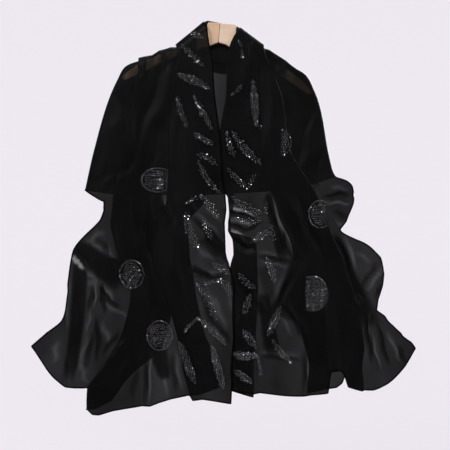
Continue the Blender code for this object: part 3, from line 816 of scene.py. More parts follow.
def hem_tube(edge: Array, beside: Array, radius: float, sides: int = 8) -> tuple[Array, Array]:
    """A rolled hem along a cloth's edge.

    Each ring is an ellipse in the plane of the cloth's outward direction and its normal:
    edge + radius * (outward * cos turn + flatness * normal * sin turn).

    Args:
        edge: Points of the edge as (x, y, drop).
        beside: The points of the cloth just inside it, one for each.
        radius: The hem's half width.
        sides: How many sides the tube has.

    Returns:
        The tube's points, ring after ring, and its faces, closed at both ends.
    """
    tangent = unit(np.gradient(edge, axis=0))
    outward = edge - beside
    outward = unit(outward - (outward * tangent).sum(axis=1, keepdims=True) * tangent)
    normal = np.cross(tangent, outward)
    turn = np.linspace(0.0, 2.0 * math.pi, sides, endpoint=False)[None, :, None]
    across, through = outward[:, None] * np.cos(turn), HEM_FLATNESS * normal[:, None] * np.sin(turn)
    rings = edge[:, None] + radius * (across + through)
    index = np.arange(len(edge) * sides).reshape(len(edge), sides)
    after = np.roll(index, -1, axis=1)
    quads = np.stack([index[:-1], after[:-1], after[1:], index[1:]], axis=-1).reshape(-1, 4)
    return rings.reshape(-1, 3), quads


# ---- Finishes --------------------------------------------------------------------------------------
@dataclass(frozen=True)
class Finish:
    """A named Principled material that its own nodes dress."""

    name: str

    def start(self) -> tuple[Material, Tree, Node]:
        """The new material, its node tree and its shader."""
        material = bpy.data.materials.new(self.name)
        material.use_nodes = True
        return material, material.node_tree, material.node_tree.nodes["Principled BSDF"]

    @staticmethod
    def connect(tree: Tree, node: Node, inputs: dict) -> None:
        """Give a node's inputs their values or links.

        Args:
            tree: The node tree.
            node: The node.
            inputs: A value, or the socket that it comes from, by each input's name or number.
        """
        for name, value in inputs.items():
            if isinstance(value, Socket):
                tree.links.new(value, node.inputs[name])
            else:
                node.inputs[name].default_value = value

    @staticmethod
    def add(tree: Tree, kind: str, inputs: dict, output: str, **options: str) -> Socket:
        """Add a node.

        Args:
            tree: The node tree.
            kind: The node's type.
            inputs: Its inputs' values or links.
            output: The output that is wanted.
            options: Its own settings.

        Returns:
            The socket of the output.
        """
        node = tree.nodes.new(kind)
        for option, value in options.items():
            setattr(node, option, value)
        Finish.connect(tree, node, inputs)
        return node.outputs[output]

    @staticmethod
    def coordinates(tree: Tree, output: str, scale: tuple[float, float, float] = (1.0, 1.0, 1.0),
                    turn: float = 0.0) -> Socket:
        """The piece's own coordinates, scaled and turned about Y or, on a UV map, in its plane."""
        source = Finish.add(tree, "ShaderNodeTexCoord", {}, output)
        inputs = {"Vector": source, "Scale": scale, "Rotation": (0.0, turn, 0.0)}
        return Finish.add(tree, "ShaderNodeMapping", inputs, "Vector")

    @staticmethod
    def noise(tree: Tree, vector: Socket, scale: float, detail: float) -> Socket:
        """Cloudy noise from 0 to 1."""
        inputs = {"Vector": vector, "Scale": scale, "Detail": detail}
        return Finish.add(tree, "ShaderNodeTexNoise", inputs, "Fac")

    @staticmethod
    def bands(tree: Tree, vector: Socket, axis: str, pitch: float, waver: float) -> Socket:
        """Sine bands across one axis, with a real pitch in metres."""
        inputs = {"Vector": vector, "Scale": 2.0 * math.pi / (20.0 * pitch), "Distortion": waver}
        return Finish.add(tree, "ShaderNodeTexWave", inputs, "Fac", bands_direction=axis)

    @staticmethod
    def combine(tree: Tree, operation: str, first: Socket, second: Socket | float) -> Socket:
        """The result of a Math node on two values."""
        return Finish.add(tree, "ShaderNodeMath", {0: first, 1: second}, "Value", operation=operation)

    @staticmethod
    def ramp(tree: Tree, value: Socket, low: tuple, high: tuple, span: Place = (0.3, 0.7)) -> Socket:
        """A colour between two, from a value and the span in which it turns from low to high."""
        node = tree.nodes.new("ShaderNodeValToRGB")
        for element, place, colour in zip(node.color_ramp.elements, span, (low, high)):
            element.position = place
            element.color = (*colour, 1.0)
        tree.links.new(value, node.inputs["Fac"])
        return node.outputs["Color"]

    @staticmethod
    def bump(tree: Tree, height: Socket, distance: float, strength: float) -> Socket:
        """Relief of a real height in metres."""
        inputs = {"Height": height, "Distance": distance, "Strength": strength}
        return Finish.add(tree, "ShaderNodeBump", inputs, "Normal")


@dataclass(frozen=True)
class ChiffonFinish(Finish):
    """Sheer crepe chiffon: a fine plain weave, a soft sheen, and light that comes through."""

    sheer: bool = True              # whether it lets light through, by the attribute "cover"
    uneven: float = 0.16            # how much the cover strays by place
    dark: tuple = (0.0012, 0.0012, 0.0013)
    light: tuple = (0.0026, 0.0025, 0.0028)
    roughness: float = 0.44
    gloss: float = 0.035
    sheen: float = 0.0025
    sheen_roughness: float = 0.4
    thread_pitch: float = 0.0007
    thread_height: float = 0.00008
    thread_waver: float = 0.6
    relief: float = 0.5             # how strongly threads and grain show
    dye_scale: float = 14.0
    crepe_scale: float = 900.0
    cloud_scale: float = 11.0
    cloud_stretch: tuple = (1.0, 1.0, 0.45)    # the uneven cover is drawn out downwards

    def build(self) -> Material:
        """The material: threads crossing on the UV map, uneven dye, and crepe grain.

        Returns:
            The material, whose alpha follows the attribute "cover", with its painted shade and
            highlights, where the cloth is sheer.
        """
        material, tree, shader = self.start()
        cloth = self.coordinates(tree, "UV")
        warp = self.bands(tree, cloth, "X", self.thread_pitch, self.thread_waver)
        weft = self.bands(tree, cloth, "Y", self.thread_pitch, self.thread_waver)
        place = self.coordinates(tree, "Object")
        dye = self.noise(tree, place, self.dye_scale, detail=3.0)
        crepe = self.noise(tree, place, self.crepe_scale, detail=2.0)
        weave = self.combine(tree, "MULTIPLY", warp, weft)
        relief = self.combine(tree, "ADD", weave, crepe)
        inputs = {
            "Base Color": self.ramp(tree, dye, self.dark, self.light),
            "Normal": self.bump(tree, relief, self.thread_height, self.relief),
            "Roughness": self.roughness, "Specular IOR Level": self.gloss,
            "Sheen Weight": self.sheen, "Sheen Roughness": self.sheen_roughness,
        }
        if self.sheer:
            cover = self.add(tree, "ShaderNodeAttribute", {}, "Fac", attribute_name="cover")
            fall = self.coordinates(tree, "Object", self.cloud_stretch)
            clouds = self.noise(tree, fall, self.cloud_scale, detail=3.0)
            clouds = self.combine(tree, "MULTIPLY", clouds, self.uneven)
            alpha = self.combine(tree, "SUBTRACT", cover, clouds)
            inputs["Alpha"] = self.combine(tree, "ADD", alpha, 0.5 * self.uneven)
        self.connect(tree, shader, inputs)
        return material


@dataclass(frozen=True)
class WoodFinish(Finish):
    """Plain sanded beech with a satin lacquer: long grain and short dark flecks."""

    early: tuple = (0.46, 0.32, 0.21)
    late: tuple = (0.38, 0.25, 0.16)
    turn: float = 0.5
    grain_stretch: tuple = (1.0, 6.0, 8.0)
    grain_scale: float = 9.0
    fleck_stretch: tuple = (30.0, 300.0, 300.0)
    fleck_scale: float = 4.0
    fleck_share: float = 0.25       # how much the flecks count beside the grain
    span: Place = (0.45, 0.85)      # where the colour turns from early to late wood
    roughness: float = 0.42
    gloss: float = 0.4
    grain_height: float = 0.0002
    relief: float = 0.3

    def build(self) -> Material:
        """The material: bands drawn out along the arm, with flecks between them.

        Returns:
            The material, in the piece's own coordinates.
        """
        material, tree, shader = self.start()
        long_grain = self.coordinates(tree, "Object", self.grain_stretch, self.turn)
        grain = self.noise(tree, long_grain, self.grain_scale, detail=5.0)
        fleck_place = self.coordinates(tree, "Object", self.fleck_stretch, self.turn)
        fleck = self.noise(tree, fleck_place, self.fleck_scale, detail=2.0)
        both = self.combine(tree, "ADD", grain, self.combine(tree, "MULTIPLY", fleck, self.fleck_share))
        self.connect(tree, shader, {
            "Base Color": self.ramp(tree, both, self.early, self.late, self.span),
            "Normal": self.bump(tree, both, self.grain_height, self.relief),
            "Roughness": self.roughness, "Specular IOR Level": self.gloss,
        })
        return material


@dataclass(frozen=True)
class StoneFinish(Finish):
    """Foil-backed crystal: a mirror with a faint tint that differs a little by place."""

    dull: tuple = (0.28, 0.29, 0.31)
    bright: tuple = (0.78, 0.78, 0.80)
    roughness: float = 0.22
    tint_scale: float = 260.0       # fine enough for neighbouring stones to differ

    def build(self) -> Material:
        """The material: a metallic shader whose tint varies from stone to stone."""
        material, tree, shader = self.start()
        tint = self.noise(tree, self.coordinates(tree, "Object"), self.tint_scale, detail=1.0)
        colour = self.ramp(tree, tint, self.dull, self.bright)
        inputs = {"Base Color": colour, "Metallic": 1.0, "Roughness": self.roughness}
        self.connect(tree, shader, inputs)
        return material


@dataclass(frozen=True)
class StudioFinish(Finish):
    """Pale paper that glows a little, so that it shows even behind the sheer cloth."""

    colour: tuple = (0.80, 0.765, 0.815)
    glow_seen: float = 0.826
    glow_given: float = 0.34
    shade: float = 0.35             # how much of its colour the paper gives back from the lamps

    def build(self) -> Material:
        """The material: a matt shader, with more glow in view than as a light."""
        material, tree, shader = self.start()
        ray = self.add(tree, "ShaderNodeLightPath", {}, "Is Camera Ray")
        seen = self.combine(tree, "MULTIPLY", ray, self.glow_seen - self.glow_given)
        self.connect(tree, shader, {
            "Base Color": (*(self.shade * part for part in self.colour), 1.0),
            "Roughness": 1.0, "Specular IOR Level": 0.0, "Emission Color": (*self.colour, 1.0),
            "Emission Strength": self.combine(tree, "ADD", seen, self.glow_given),
        })
        return material


# ---- The pieces --------------------------------------------------------------------------------------
@dataclass
class Front:
    """One front of the shawl: pleated layers at stepped depths, joined by round folds."""

    name: str
    side: Side
    sections: tuple
    layers: tuple[Layer, ...]
    hem: tuple[HemPoint, ...]
    edges: tuple[EdgeLine, ...]
    rises: tuple[Rise, ...]
    tucks: tuple[Tuck, ...]
    facing: Facing
    folds: SoftFolds = field(default_factory=SoftFolds)
    fold_columns: int = 5
    hem_fade: float = 1.5           # the hem's own line fades out this many sections above it
    crowding: float = 1.6           # above 1, the first rows lie closer to the shoulder
    waver: float = 1.4              # how far a fold's line strays to either side
    waver_start: float = 0.4        # and at which section it starts to
    waves: tuple = ((1.0, 2.3, 1.7), (0.6, 5.1, 2.9))    # sizes, and turns a section and a place
    breathing: tuple = (0.22, 0.9, 1.3)     # the same for how far a layer's depth strays, in gaps
    breathing_start: float = 0.5
    rise_fade: float = 0.6          # the shoulder's rises fade out over this share of a section

    def steps(self) -> Array:
        """Places of the grid's rows, counted in sections, closer together at the shoulder."""
        first = (np.arange(FIRST_ROWS) / FIRST_ROWS) ** self.crowding
        last = len(self.sections) - 1
        rest = np.linspace(1.0, last, ROWS_PER_INTERVAL * (last - 1) + 1)
        return np.concatenate([first, rest])

    def section_rows(self, steps: Array) -> Array:
        """The section table, carried to the grid's rows, with wavering folds.

        Args:
            steps: Places of the rows, counted in sections.

        Returns:
            Each row's places as (x, drop).
        """
        table = np.array([list(section) for section in self.sections], dtype=float)
        table[:, :, 0] *= self.side.value
        rows = smooth_rows(table, steps)
        number = np.arange(1, table.shape[1] - 1)
        down = steps[:, None]
        wave = sum(size * np.sin(fall * down + across * number) for size, fall, across in self.waves)
        rows[:, 1:-1, 0] += self.waver * wave * ease(down - self.waver_start)
        for place, points in self.edges:
            sections, out = np.array(points).T
            column = self.sections[0]._fields.index(place)
            rows[:, column, 0] += self.side.value * np.interp(steps, sections, out)
        return rows

    def layer_points(self, rows: Array, layer: Layer, gap: Array, before: float,
                     after: float) -> tuple[Array, Array]:
        """One layer's points, and their places counted from the section's first place.

        Args:
            rows: The grid's rows of places.
            layer: The layer.
            gap: Distance between neighbouring layers in each row.
            before: How many gaps wide the fold at its start is, or 0.
            after: The same for its end.

        Returns:
            Points as (x, drop), and for each column its place.
        """
        names = list(self.sections[0]._fields)
        first, last = names.index(layer.start), names.index(layer.end)
        places = rows[:, first:last + 1].copy()
        for place, beside, width in ((0, 1, before), (-1, -2, after)):
            inward = unit(places[:, beside] - places[:, place])
            places[:, place] += inward * (0.5 * width * gap)[:, None]
        lengths = np.linalg.norm(np.diff(rows[:, first:last + 1], axis=1), axis=2).max(axis=0)
        counts = np.maximum(np.ceil(lengths / layer.step).astype(int), 3)
        shares = [np.arange(count) / count for count in counts]
        shares[-1] = np.linspace(0.0, 1.0, counts[-1] + 1)
        numbers = np.concatenate([first + run + share for run, share in enumerate(shares)])
        return through_places(places, shares), numbers

    @staticmethod
    def fold_points(points: Array, after: Array, turn: Array, radius: Array) -> Array:
        """The half round that joins two layers.

        Its points stand out from the line between the layers' ends by the radius times the sine
        of the turn.

        Args:
            points: The first layer's points as (x, drop).
            after: The next layer's.
            turn: The turns at which points are wanted.
            radius: The fold's radius in each row.

        Returns:
            The fold's points as (x, drop).
        """
        outward = unit(points[:, -1] - points[:, -2]) + unit(after[:, 0] - after[:, 1])
        share = (turn / math.pi)[None, :, None]
        base = points[:, -1:] * (1.0 - share) + after[:, :1] * share
        return base + unit(outward)[:, None] * radius[:, None, None] * np.sin(turn)[None, :, None]

    def surface(self) -> "FrontSurface":
        """The front's middle surface.

        Between two layers the fold is a half round, which changes level by the cosine of its turn.
        Over the shoulder the layers lie above each other, along the shoulder line's normal.

        Returns:
            The surface, with what its columns are.
        """
        steps = self.steps()
        rows = self.section_rows(steps)
        gap = LAYER_GAP_TOP + (LAYER_GAP_HEM - LAYER_GAP_TOP) * steps / steps[-1]
        widths = [abs(a.level - b.level) for a, b in zip(self.layers[:-1], self.layers[1:])]
        built = [
            self.layer_points(rows, layer, gap, before, after)
            for layer, before, after in zip(self.layers, [0, *widths], [*widths, 0])
        ]
        turn = np.linspace(0.0, math.pi, self.fold_columns + 2)[1:-1]
        places, numbers, levels, owners = [], [], [], []
        for order, (layer, (points, place)) in enumerate(zip(self.layers, built)):
            places.append(points)
            numbers.append(place)
            levels.append(np.full(len(place), float(layer.level)))
            owners.append(np.full(len(place), order))
            if order == len(self.layers) - 1:
                continue
            places.append(self.fold_points(points, built[order + 1][0], turn, 0.5 * widths[order] * gap))
            numbers.append(np.full(len(turn), place[-1]))
            after_level = self.layers[order + 1].level
            middle, half = 0.5 * (layer.level + after_level), 0.5 * (layer.level - after_level)
            levels.append(middle + half * np.cos(turn))
            owners.append(np.full(len(turn), order))
        return self.hang(steps, gap, np.concatenate(places, axis=1), np.concatenate(numbers),
                         np.concatenate(levels), np.concatenate(owners))

    def hang(self, steps: Array, gap: Array, places: Array, numbers: Array, levels: Array,
             owners: Array) -> "FrontSurface":
        """Give the layers' points their depth, and the hem and the shoulder their own lines.

        Args:
            steps: Places of the rows, counted in sections.
            gap: Distance between neighbouring layers in each row.
            places: The layers' points as (x, drop).
            numbers: Each column's place, counted from the section's first place.
            levels: Each column's level.
            owners: Each column's layer.

        Returns:
            The front's surface.
        """
        fade = ease(1.0 - (steps[-1] - steps) / self.hem_fade)
        hem_places, lower = np.array(self.hem).T
        places[..., 1] += fade[:, None] * np.interp(numbers, hem_places, lower)[None, :]
        rise_out, higher = np.array(self.rises).T
        risen = np.interp(np.abs(places[..., 0]), rise_out, higher)
        places[..., 1] -= risen * ease(1.0 - steps / self.rise_fade)[:, None]
        base = places[0].copy()
        direction = np.gradient(base, axis=0)
        direction = unit(direction * np.where(direction[:, :1] * self.side.value < 0, -1.0, 1.0))
        above = self.side.value * np.stack([direction[:, 1], -direction[:, 0]], axis=1)
        lift = levels[None, :] * gap[:, None]
        far = np.linalg.norm(places - base[None], axis=-1)
        x, drop = places[..., 0], places[..., 1]
        relief = self.folds.depth(x, drop) + crease_depth(CREASES, x, drop)
        size, fall, across = self.breathing
        breathing = size * gap[:, None] * np.sin(fall * steps[:, None] + across * numbers[None, :])
        depth = FRONT_DEPTH + lift + relief + breathing * ease(steps - self.breathing_start)[:, None]
        upright = 1.0 - np.clip(far / CURL_RADIUS, 0.0, 1.0)
        places = places + above[None] * (lift * upright)[..., None]
        surface = np.stack([places[..., 0], -curl(far) * depth, places[..., 1]], axis=-1)
        return FrontSurface(surface, numbers, owners, base, levels * gap[0])

    def build(self, chiffon: Material, hem: Material) -> "ClothPiece":
        """The front's shell and its rolled hem.

        The cloth counts as thicker in its tucks. Its cover also paints the creases' light and shade:
        painted highlights over the ridges, where the cloth counts as thinner, and painted shade in the
        troughs, where it counts as thicker, by the hyperbolic tangent of the creases' relief.

        Args:
            chiffon: The cloth's finish.
            hem: The hem's finish.

        Returns:
            The pieces with the surface they were made from.
        """
        shape = self.surface()
        grid = shape.points
        more = np.zeros(grid.shape[:2])
        for order, layer in enumerate(self.layers):
            own = [tuck for tuck in self.tucks if tuck.layer == layer.start]
            more += thickened(own, grid[..., 0], grid[..., 2]) * (shape.owners == order)
        # Painted highlights over ridges and painted shade in troughs, by thinning and thickening the cover.
        relief = crease_depth(CREASES, grid[..., 0], grid[..., 2])
        more = np.maximum(more - PAINTED_CREASE_SHADING * np.tanh(relief / HIGH_CREASE), LEAST_THICKNESS - 1.0)
        shell = cloth_shell(self.name, grid, self.facing, chiffon, more)
        edge = np.concatenate([grid[2:, 0], grid[-1, 1:-1], grid[:1:-1, -1]])
        beside = np.concatenate([grid[2:, 1], grid[-2, 1:-1], grid[:1:-1, -2]])
        roll = RolledHem(f"{self.name}_hem").build(edge, beside, hem)
        return ClothPiece(shell, roll, shape)


@dataclass
class FrontSurface:
    """A front's grid, and what its columns are."""

    points: Array       # (rows, columns, 3), as (x, y, drop)
    numbers: Array      # each column's place
    owners: Array       # each column's layer
    base: Array         # the shoulder line under the layers, as (x, drop)
    lift: Array         # how far each column stands above that line


@dataclass
class ClothPiece:
    """A shell with its hem."""

    shell: Object
    hem: Object
    shape: FrontSurface | None = None


@dataclass(frozen=True)
class RolledHem:
    """The narrow rolled hem along a cloth's cut edges."""

    name: str
    radius: float = 1.7

    def build(self, edge: Array, beside: Array, material: Material) -> Object:
        """A tube along the edge, from its points and the cloth's points beside them."""
        points, quads = hem_tube(edge, beside, self.radius)
        sides = len(points) // len(edge)
        caps = [list(range(sides))[::-1], list(range(len(points) - sides, len(points)))]
        piece = make_object(self.name, row_frame(points), quads.tolist() + caps, material)
        piece.data.shade_smooth()
        return piece


@dataclass
class Back:
    """The single panel behind the hanger, from the seams of the two fronts to its own hem."""

    hem_line: tuple = ((-299, 367), (-250, 374), (-140, 377), (-5, 375), (130, 367), (205, 352),
                       (246, 338))
    neck_line: tuple = ((-98, 48), (-88, 40), (-34, 20), (34, 26), (80, 44), (95, 54))
    corners: tuple = ((-231, 125), (205, 152))      # where the seams turn down the sides
    columns: int = 190
    rows: int = 110
    crowding: float = 0.8           # from 0, even, to 1: how much closer the grid is at its ends
    seam_step: float = 0.05         # the seam keeps points that lie this much further out
    ripple: float = 2.2
    ripple_width: float = 104.0
    ripple_start: float = 62.0
    ripple_growth: float = 120.0    # ripples and creases reach their height over this drop
    pleat_fade: float = 170.0       # the pleats at the shoulder fade out over this drop

    def seam(self, front: FrontSurface, first_place: float) -> Array:
        """The front's uppermost shoulder and side line.

        Args:
            front: The front.
            first_place: The place from which the line runs outwards.

        Returns:
            The line's points as (x, drop, lift).
        """
        keep = front.numbers >= first_place
        line = np.column_stack([front.base[keep], front.lift[keep]])
        out = np.abs(line[:, 0])
        furthest = np.maximum.accumulate(out)[:-1]
        return line[np.concatenate([[True], out[1:] > furthest + self.seam_step])]

    def surface(self, left: FrontSurface, right: FrontSurface) -> Array:
        """The panel's middle surface.

        It is a Coons patch: the blend across plus the blend down, less the blend of the corners.
        Near a seam it curls forward in a quarter round, and small ripples grow downwards.

        Args:
            left: The left front, which the panel meets along its seam.
            right: The right front.

        Returns:
            A grid of points as (x, y, drop).
        """
        left_seam = self.seam(left, LeftSection._fields.index("centre"))
        right_seam = self.seam(right, RightSection._fields.index("centre"))
        turns = [
            int(np.argmin(np.linalg.norm(seam[:, :2] - corner, axis=1)))
            for seam, corner in zip((left_seam, right_seam), self.corners)
        ]
        neck, hem = (np.array([(*place, 0.0) for place in line]) for line in (self.neck_line, self.hem_line))
        top = np.concatenate([left_seam[turns[0]::-1], neck, right_seam[:turns[1] + 1]])
        across = self.crowded(self.columns)
        down = self.crowded(self.rows)
        u, v = np.meshgrid(across, down)
        u, v = u[..., None], v[..., None]
        start = along(left_seam[turns[0]:], down)[:, None]
        end = along(right_seam[turns[1]:], down)[:, None]
        upper, lower = along(top, across)[None], along(hem, across)[None]
        top_corners = (1 - u) * (1 - v) * top[0] + u * (1 - v) * top[-1]
        corners = top_corners + (1 - u) * v * start[-1] + u * v * end[-1]
        patch = (1 - v) * upper + v * lower + (1 - u) * start + u * end - corners
        places, x, drop = patch[..., :2], patch[..., 0], patch[..., 1]
        far = np.minimum(
            distance_to_line(places, left_seam[:, :2]), distance_to_line(places, right_seam[:, :2])
        )
        lift = upper[..., 2] * ease(1.0 - far / self.pleat_fade)
        ripple = self.ripple * 0.5 * (1.0 - np.cos(2.0 * math.pi * x / self.ripple_width))
        ripple += crease_depth(BACK_CREASES, x, drop)
        ripple *= ease((drop - self.ripple_start) / self.ripple_growth)
        upright = 1.0 - np.clip(far / CURL_RADIUS, 0.0, 1.0)
        y = curl(far) * (BACK_DEPTH + ripple + lift)
        return np.stack([x, y, drop - lift * upright], axis=-1)

    def crowded(self, count: int) -> Array:
        """Places from 0 to 1 that lie closer together near both ends."""
        even = np.linspace(0.0, 1.0, count)
        return even - self.crowding * np.sin(2.0 * math.pi * even) / (2.0 * math.pi)

    def build(self, left: FrontSurface, right: FrontSurface, chiffon: Material,
              hem: Material) -> ClothPiece:
        """The panel's shell, and the rolled hem along its lower edge."""
        grid = self.surface(left, right)
        shell = cloth_shell("back_panel", grid, Facing.AS_LAID, chiffon)
        roll = RolledHem("back_panel_hem").build(grid[-1, 1:-1], grid[-2, 1:-1], hem)
        return ClothPiece(shell, roll)


@dataclass
class Collar:
    """The cloth's long edge folded down in layers behind the neck."""

    layer_gap: float = 3.0
    arch: float = 9.0
    fall: float = 112.0
    end_fall: float = 20.0
    fall_power: float = 0.8         # below 1, the fall stays long towards the collar's ends
    inner_clearance: float = 2.0    # the inner fold ends this far below the arch
    lip_depth: float = 8.7
    lip_fall: float = 84.0
    lip_end: float = 5.0
    lip_inset: float = 2.0          # the short inner layer starts this far inside the neck's half
    lip_ease: float = 8.0           # and reaches its fall over this distance
    neck_half_width: float = 38.0
    neck_ease: float = 4.0          # the sides' form turns into the neck's over this distance
    neck_top: tuple = ((-32, -8), (33, 5))
    seam_share: float = 0.3         # how much of the quarter turn the lip's columns take at the sides
    columns: int = 120
    lip_points: int = 12
    turn_points: int = 14
    down_points: int = 21
    bend_points: int = 9
    up_points: int = 16

    def top_line(self, left: FrontSurface, right: FrontSurface) -> Array:
        """The line of the lapels' seams and the neck from which the collar falls.

        Args:
            left: The left front.
            right: The right front.

        Returns:
            Evenly spaced points as (x, drop), one for each of the collar's sections.
        """
        on_left = (left.owners == 0) & (left.numbers < LeftSection._fields.index("lapel_edge"))
        on_right = (right.owners == 1) & (right.numbers < RightSection._fields.index("lapel_edge"))
        lapel_left = left.points[0, on_left][:, ::2]
        lapel_right = right.points[0, on_right][:, ::2]
        line = np.concatenate([lapel_left[::-1], np.array(self.neck_top, dtype=float), lapel_right])
        return along(line, np.linspace(0.0, 1.0, self.columns))

    def turning(self, x: Array, outer: float) -> tuple[Array, Array]:
        """The part of each section that turns over backwards, at the top.

        At the sides it is a quarter round from the seam: y is the depth times the sine of the
        turn. At the neck it rises as a lip behind the hanger's head and turns over in a half round.

        Args:
            x: The sections' x in millimetres, as a column.
            outer: How far back the outermost layer lies.

        Returns:
            Depth and drop below the top line, each with a row for every section.
        """
        neck = ease((self.neck_half_width + self.neck_ease - np.abs(x)) / self.neck_ease)
        lip = np.linspace(0.0, 1.0, self.lip_points)[None, :-1]
        turn = np.linspace(0.0, 1.0, self.turn_points)[None, :]
        quarter = 0.5 * math.pi * np.concatenate(
            [self.seam_share * lip, self.seam_share + (1.0 - self.seam_share) * turn], axis=1
        )
        middle = ease((self.neck_half_width - self.lip_inset - np.abs(x)) / self.lip_ease)
        lip_length = self.lip_end + (self.lip_fall - self.lip_end) * middle
        mean, half = 0.5 * (self.lip_depth + outer), 0.5 * (outer - self.lip_depth)
        half_y = np.concatenate(
            [np.full_like(lip, self.lip_depth), mean - half * np.cos(math.pi * turn)], axis=1
        )
        over_drop = np.broadcast_to(self.arch * (1.0 - np.sin(math.pi * turn)), (len(x), turn.size))
        half_drop = np.concatenate([self.arch + lip_length * (1.0 - lip), over_drop], axis=1)
        y = (1 - neck) * outer * np.sin(quarter) + neck * half_y
        return y, (1 - neck) * self.arch * (1.0 - np.cos(quarter)) + neck * half_drop

    def surface(self, left: FrontSurface, right: FrontSurface) -> Array:
        """The collar's middle surface.

        Each section starts at the lapels' seam, or behind the hanger's head at the lower end of
        a short inner layer. It turns over backwards, falls, and folds up again on its inner side.

        Args:
            left: The left front.
            right: The right front.

        Returns:
            A grid of points as (x, y, drop).
        """
        top = self.top_line(left, right)
        x = top[:, :1]
        outer = BACK_DEPTH + 2.0 * self.layer_gap
        turning_y, turning_drop = self.turning(x, outer)
        rise = np.sin(math.pi * np.linspace(0.0, 1.0, self.columns)[:, None]) ** self.fall_power
        half = 0.5 * self.layer_gap
        low = self.end_fall + (self.fall - self.end_fall) * rise - half
        down = np.linspace(0.0, 1.0, self.down_points)[None, 1:]
        bend = np.linspace(0.0, math.pi, self.bend_points)[None, 1:-1]
        up = np.linspace(0.0, 1.0, self.up_points)[None, :]
        y = np.concatenate([
            turning_y, outer + 0 * down + 0 * x, outer - half * (1 - np.cos(bend)) + 0 * x,
            outer - 2 * half + 0 * up + 0 * x,
        ], axis=1)
        drop = np.concatenate([
            turning_drop, self.arch + (low - self.arch) * down, low + half * np.sin(bend),
            low + (self.arch + self.inner_clearance - low) * up,
        ], axis=1)
        return np.stack([np.broadcast_to(x, y.shape), y, top[:, 1:] + drop], axis=-1)

    def build(self, left: FrontSurface, right: FrontSurface, chiffon: Material) -> Object:
        """The collar's shell."""
        return cloth_shell("neck_collar", self.surface(left, right), Facing.TURNED, chiffon)


